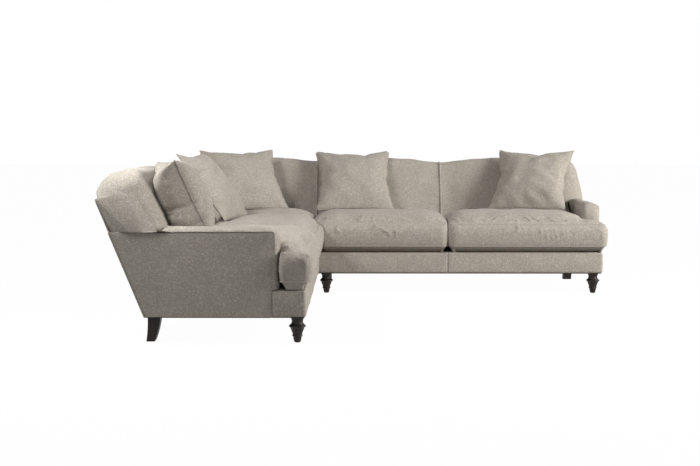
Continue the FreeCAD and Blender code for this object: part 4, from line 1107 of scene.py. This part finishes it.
# Floor, backdrop, light and camera.
def seen_directly(tree):
    """The light path node, and 1 where a surface is seen by eye, in a reflection or through something."""
    rays = add_node(tree, "ShaderNodeLightPath")
    through = maths(tree, "MAXIMUM", rays.outputs["Is Glossy Ray"], rays.outputs["Is Transmission Ray"])
    return rays, maths(tree, "MAXIMUM", rays.outputs["Is Camera Ray"], through)


def make_stage():
    """A white floor that fades into the backdrop and keeps a soft part of the sofa's shadow."""
    material, tree, shader = node_material("pale_floor")
    glow = add_node(tree, "ShaderNodeEmission", {"Color": (1, 1, 1, 1), "Strength": 1.0})
    rays, seen = seen_directly(tree)
    share = maths(tree, "MULTIPLY", seen, 0.98)
    tone = colour_mix(tree, rays.outputs["Is Camera Ray"], (0.42, 0.42, 0.42, 1), (0.95, 0.95, 0.95, 1))
    connect(tree, shader, {"Base Color": tone, "Roughness": 1.0, "Specular IOR Level": 0.0})
    mix = add_node(tree, "ShaderNodeMixShader", {0: share, 1: shader.outputs[0], 2: glow.outputs[0]})
    out = next(n for n in tree.nodes if n.type == "OUTPUT_MATERIAL")
    tree.links.new(mix.outputs[0], out.inputs[0])
    mesh = bpy.data.meshes.new("floor")
    reach = 30.0
    corners = [(-reach, -reach, 0), (reach, -reach, 0), (reach, reach, 0), (-reach, reach, 0)]
    mesh.from_pydata(corners, [], [(0, 1, 2, 3)])
    floor = bpy.data.objects.new("floor", mesh)
    bpy.context.scene.collection.objects.link(floor)
    mesh.materials.append(material)


def make_world():
    """White where the camera looks, and a weaker room light on the sofa."""
    world = bpy.data.worlds.new("studio")
    bpy.context.scene.world = world
    world.use_nodes = True
    tree = world.node_tree
    tree.nodes.clear()
    out = tree.nodes.new("ShaderNodeOutputWorld")
    room = add_node(tree, "ShaderNodeBackground", {"Color": (1.0, 0.99, 0.975, 1), "Strength": 0.24})
    white = add_node(tree, "ShaderNodeBackground", {"Color": (1, 1, 1, 1), "Strength": 1.0})
    _, seen = seen_directly(tree)
    mix = add_node(tree, "ShaderNodeMixShader", {0: seen, 1: room.outputs[0], 2: white.outputs[0]})
    tree.links.new(mix.outputs[0], out.inputs[0])


def area_light(name, place, target, size, power, colour=(1, 1, 1)):
    lamp = bpy.data.lights.new(name, "AREA")
    lamp.shape = "RECTANGLE"
    lamp.size, lamp.size_y = size
    lamp.energy = power
    lamp.color = colour
    light = bpy.data.objects.new(name, lamp)
    bpy.context.scene.collection.objects.link(light)
    light.location = place
    light.rotation_euler = (Vector(target) - Vector(place)).to_track_quat("-Z", "Y").to_euler()
    light.visible_camera = False
    return light


make_stage()
make_world()
area_light("key_softbox", (4.9, -1.5, 2.2), (-0.6, 0.4, 0.4), (2.2, 1.8), 305.0, (1.0, 0.985, 0.965))
area_light("top_softbox", (0.2, 0.2, 4.2), (0.0, 0.3, 0.3), (3.5, 3.5), 12.0)
area_light("near_softbox", (-2.1, -1.42, 2.4), (-1.15, -1.35, 0.7), (1.0, 0.7), 50.0)
end_softbox = area_light("end_softbox", (-2.2, -2.2, 2.2), (-1.30, -1.34, 0.97), (0.4, 0.4), 0.65)
end_softbox.data.spread = math.radians(24)

camera = bpy.data.cameras.new("camera")
camera.sensor_width = 36.0
camera.lens = 60.86
camera.clip_end = 100.0
eye = bpy.data.objects.new("camera", camera)
bpy.context.scene.collection.objects.link(eye)
eye.location = (-0.1511, -7.0174, 1.0167)
eye.rotation_euler = (math.radians(90 - 4.88), 0, math.radians(0.37))
bpy.context.scene.camera = eye
bpy.context.scene.view_settings.view_transform = "Standard"
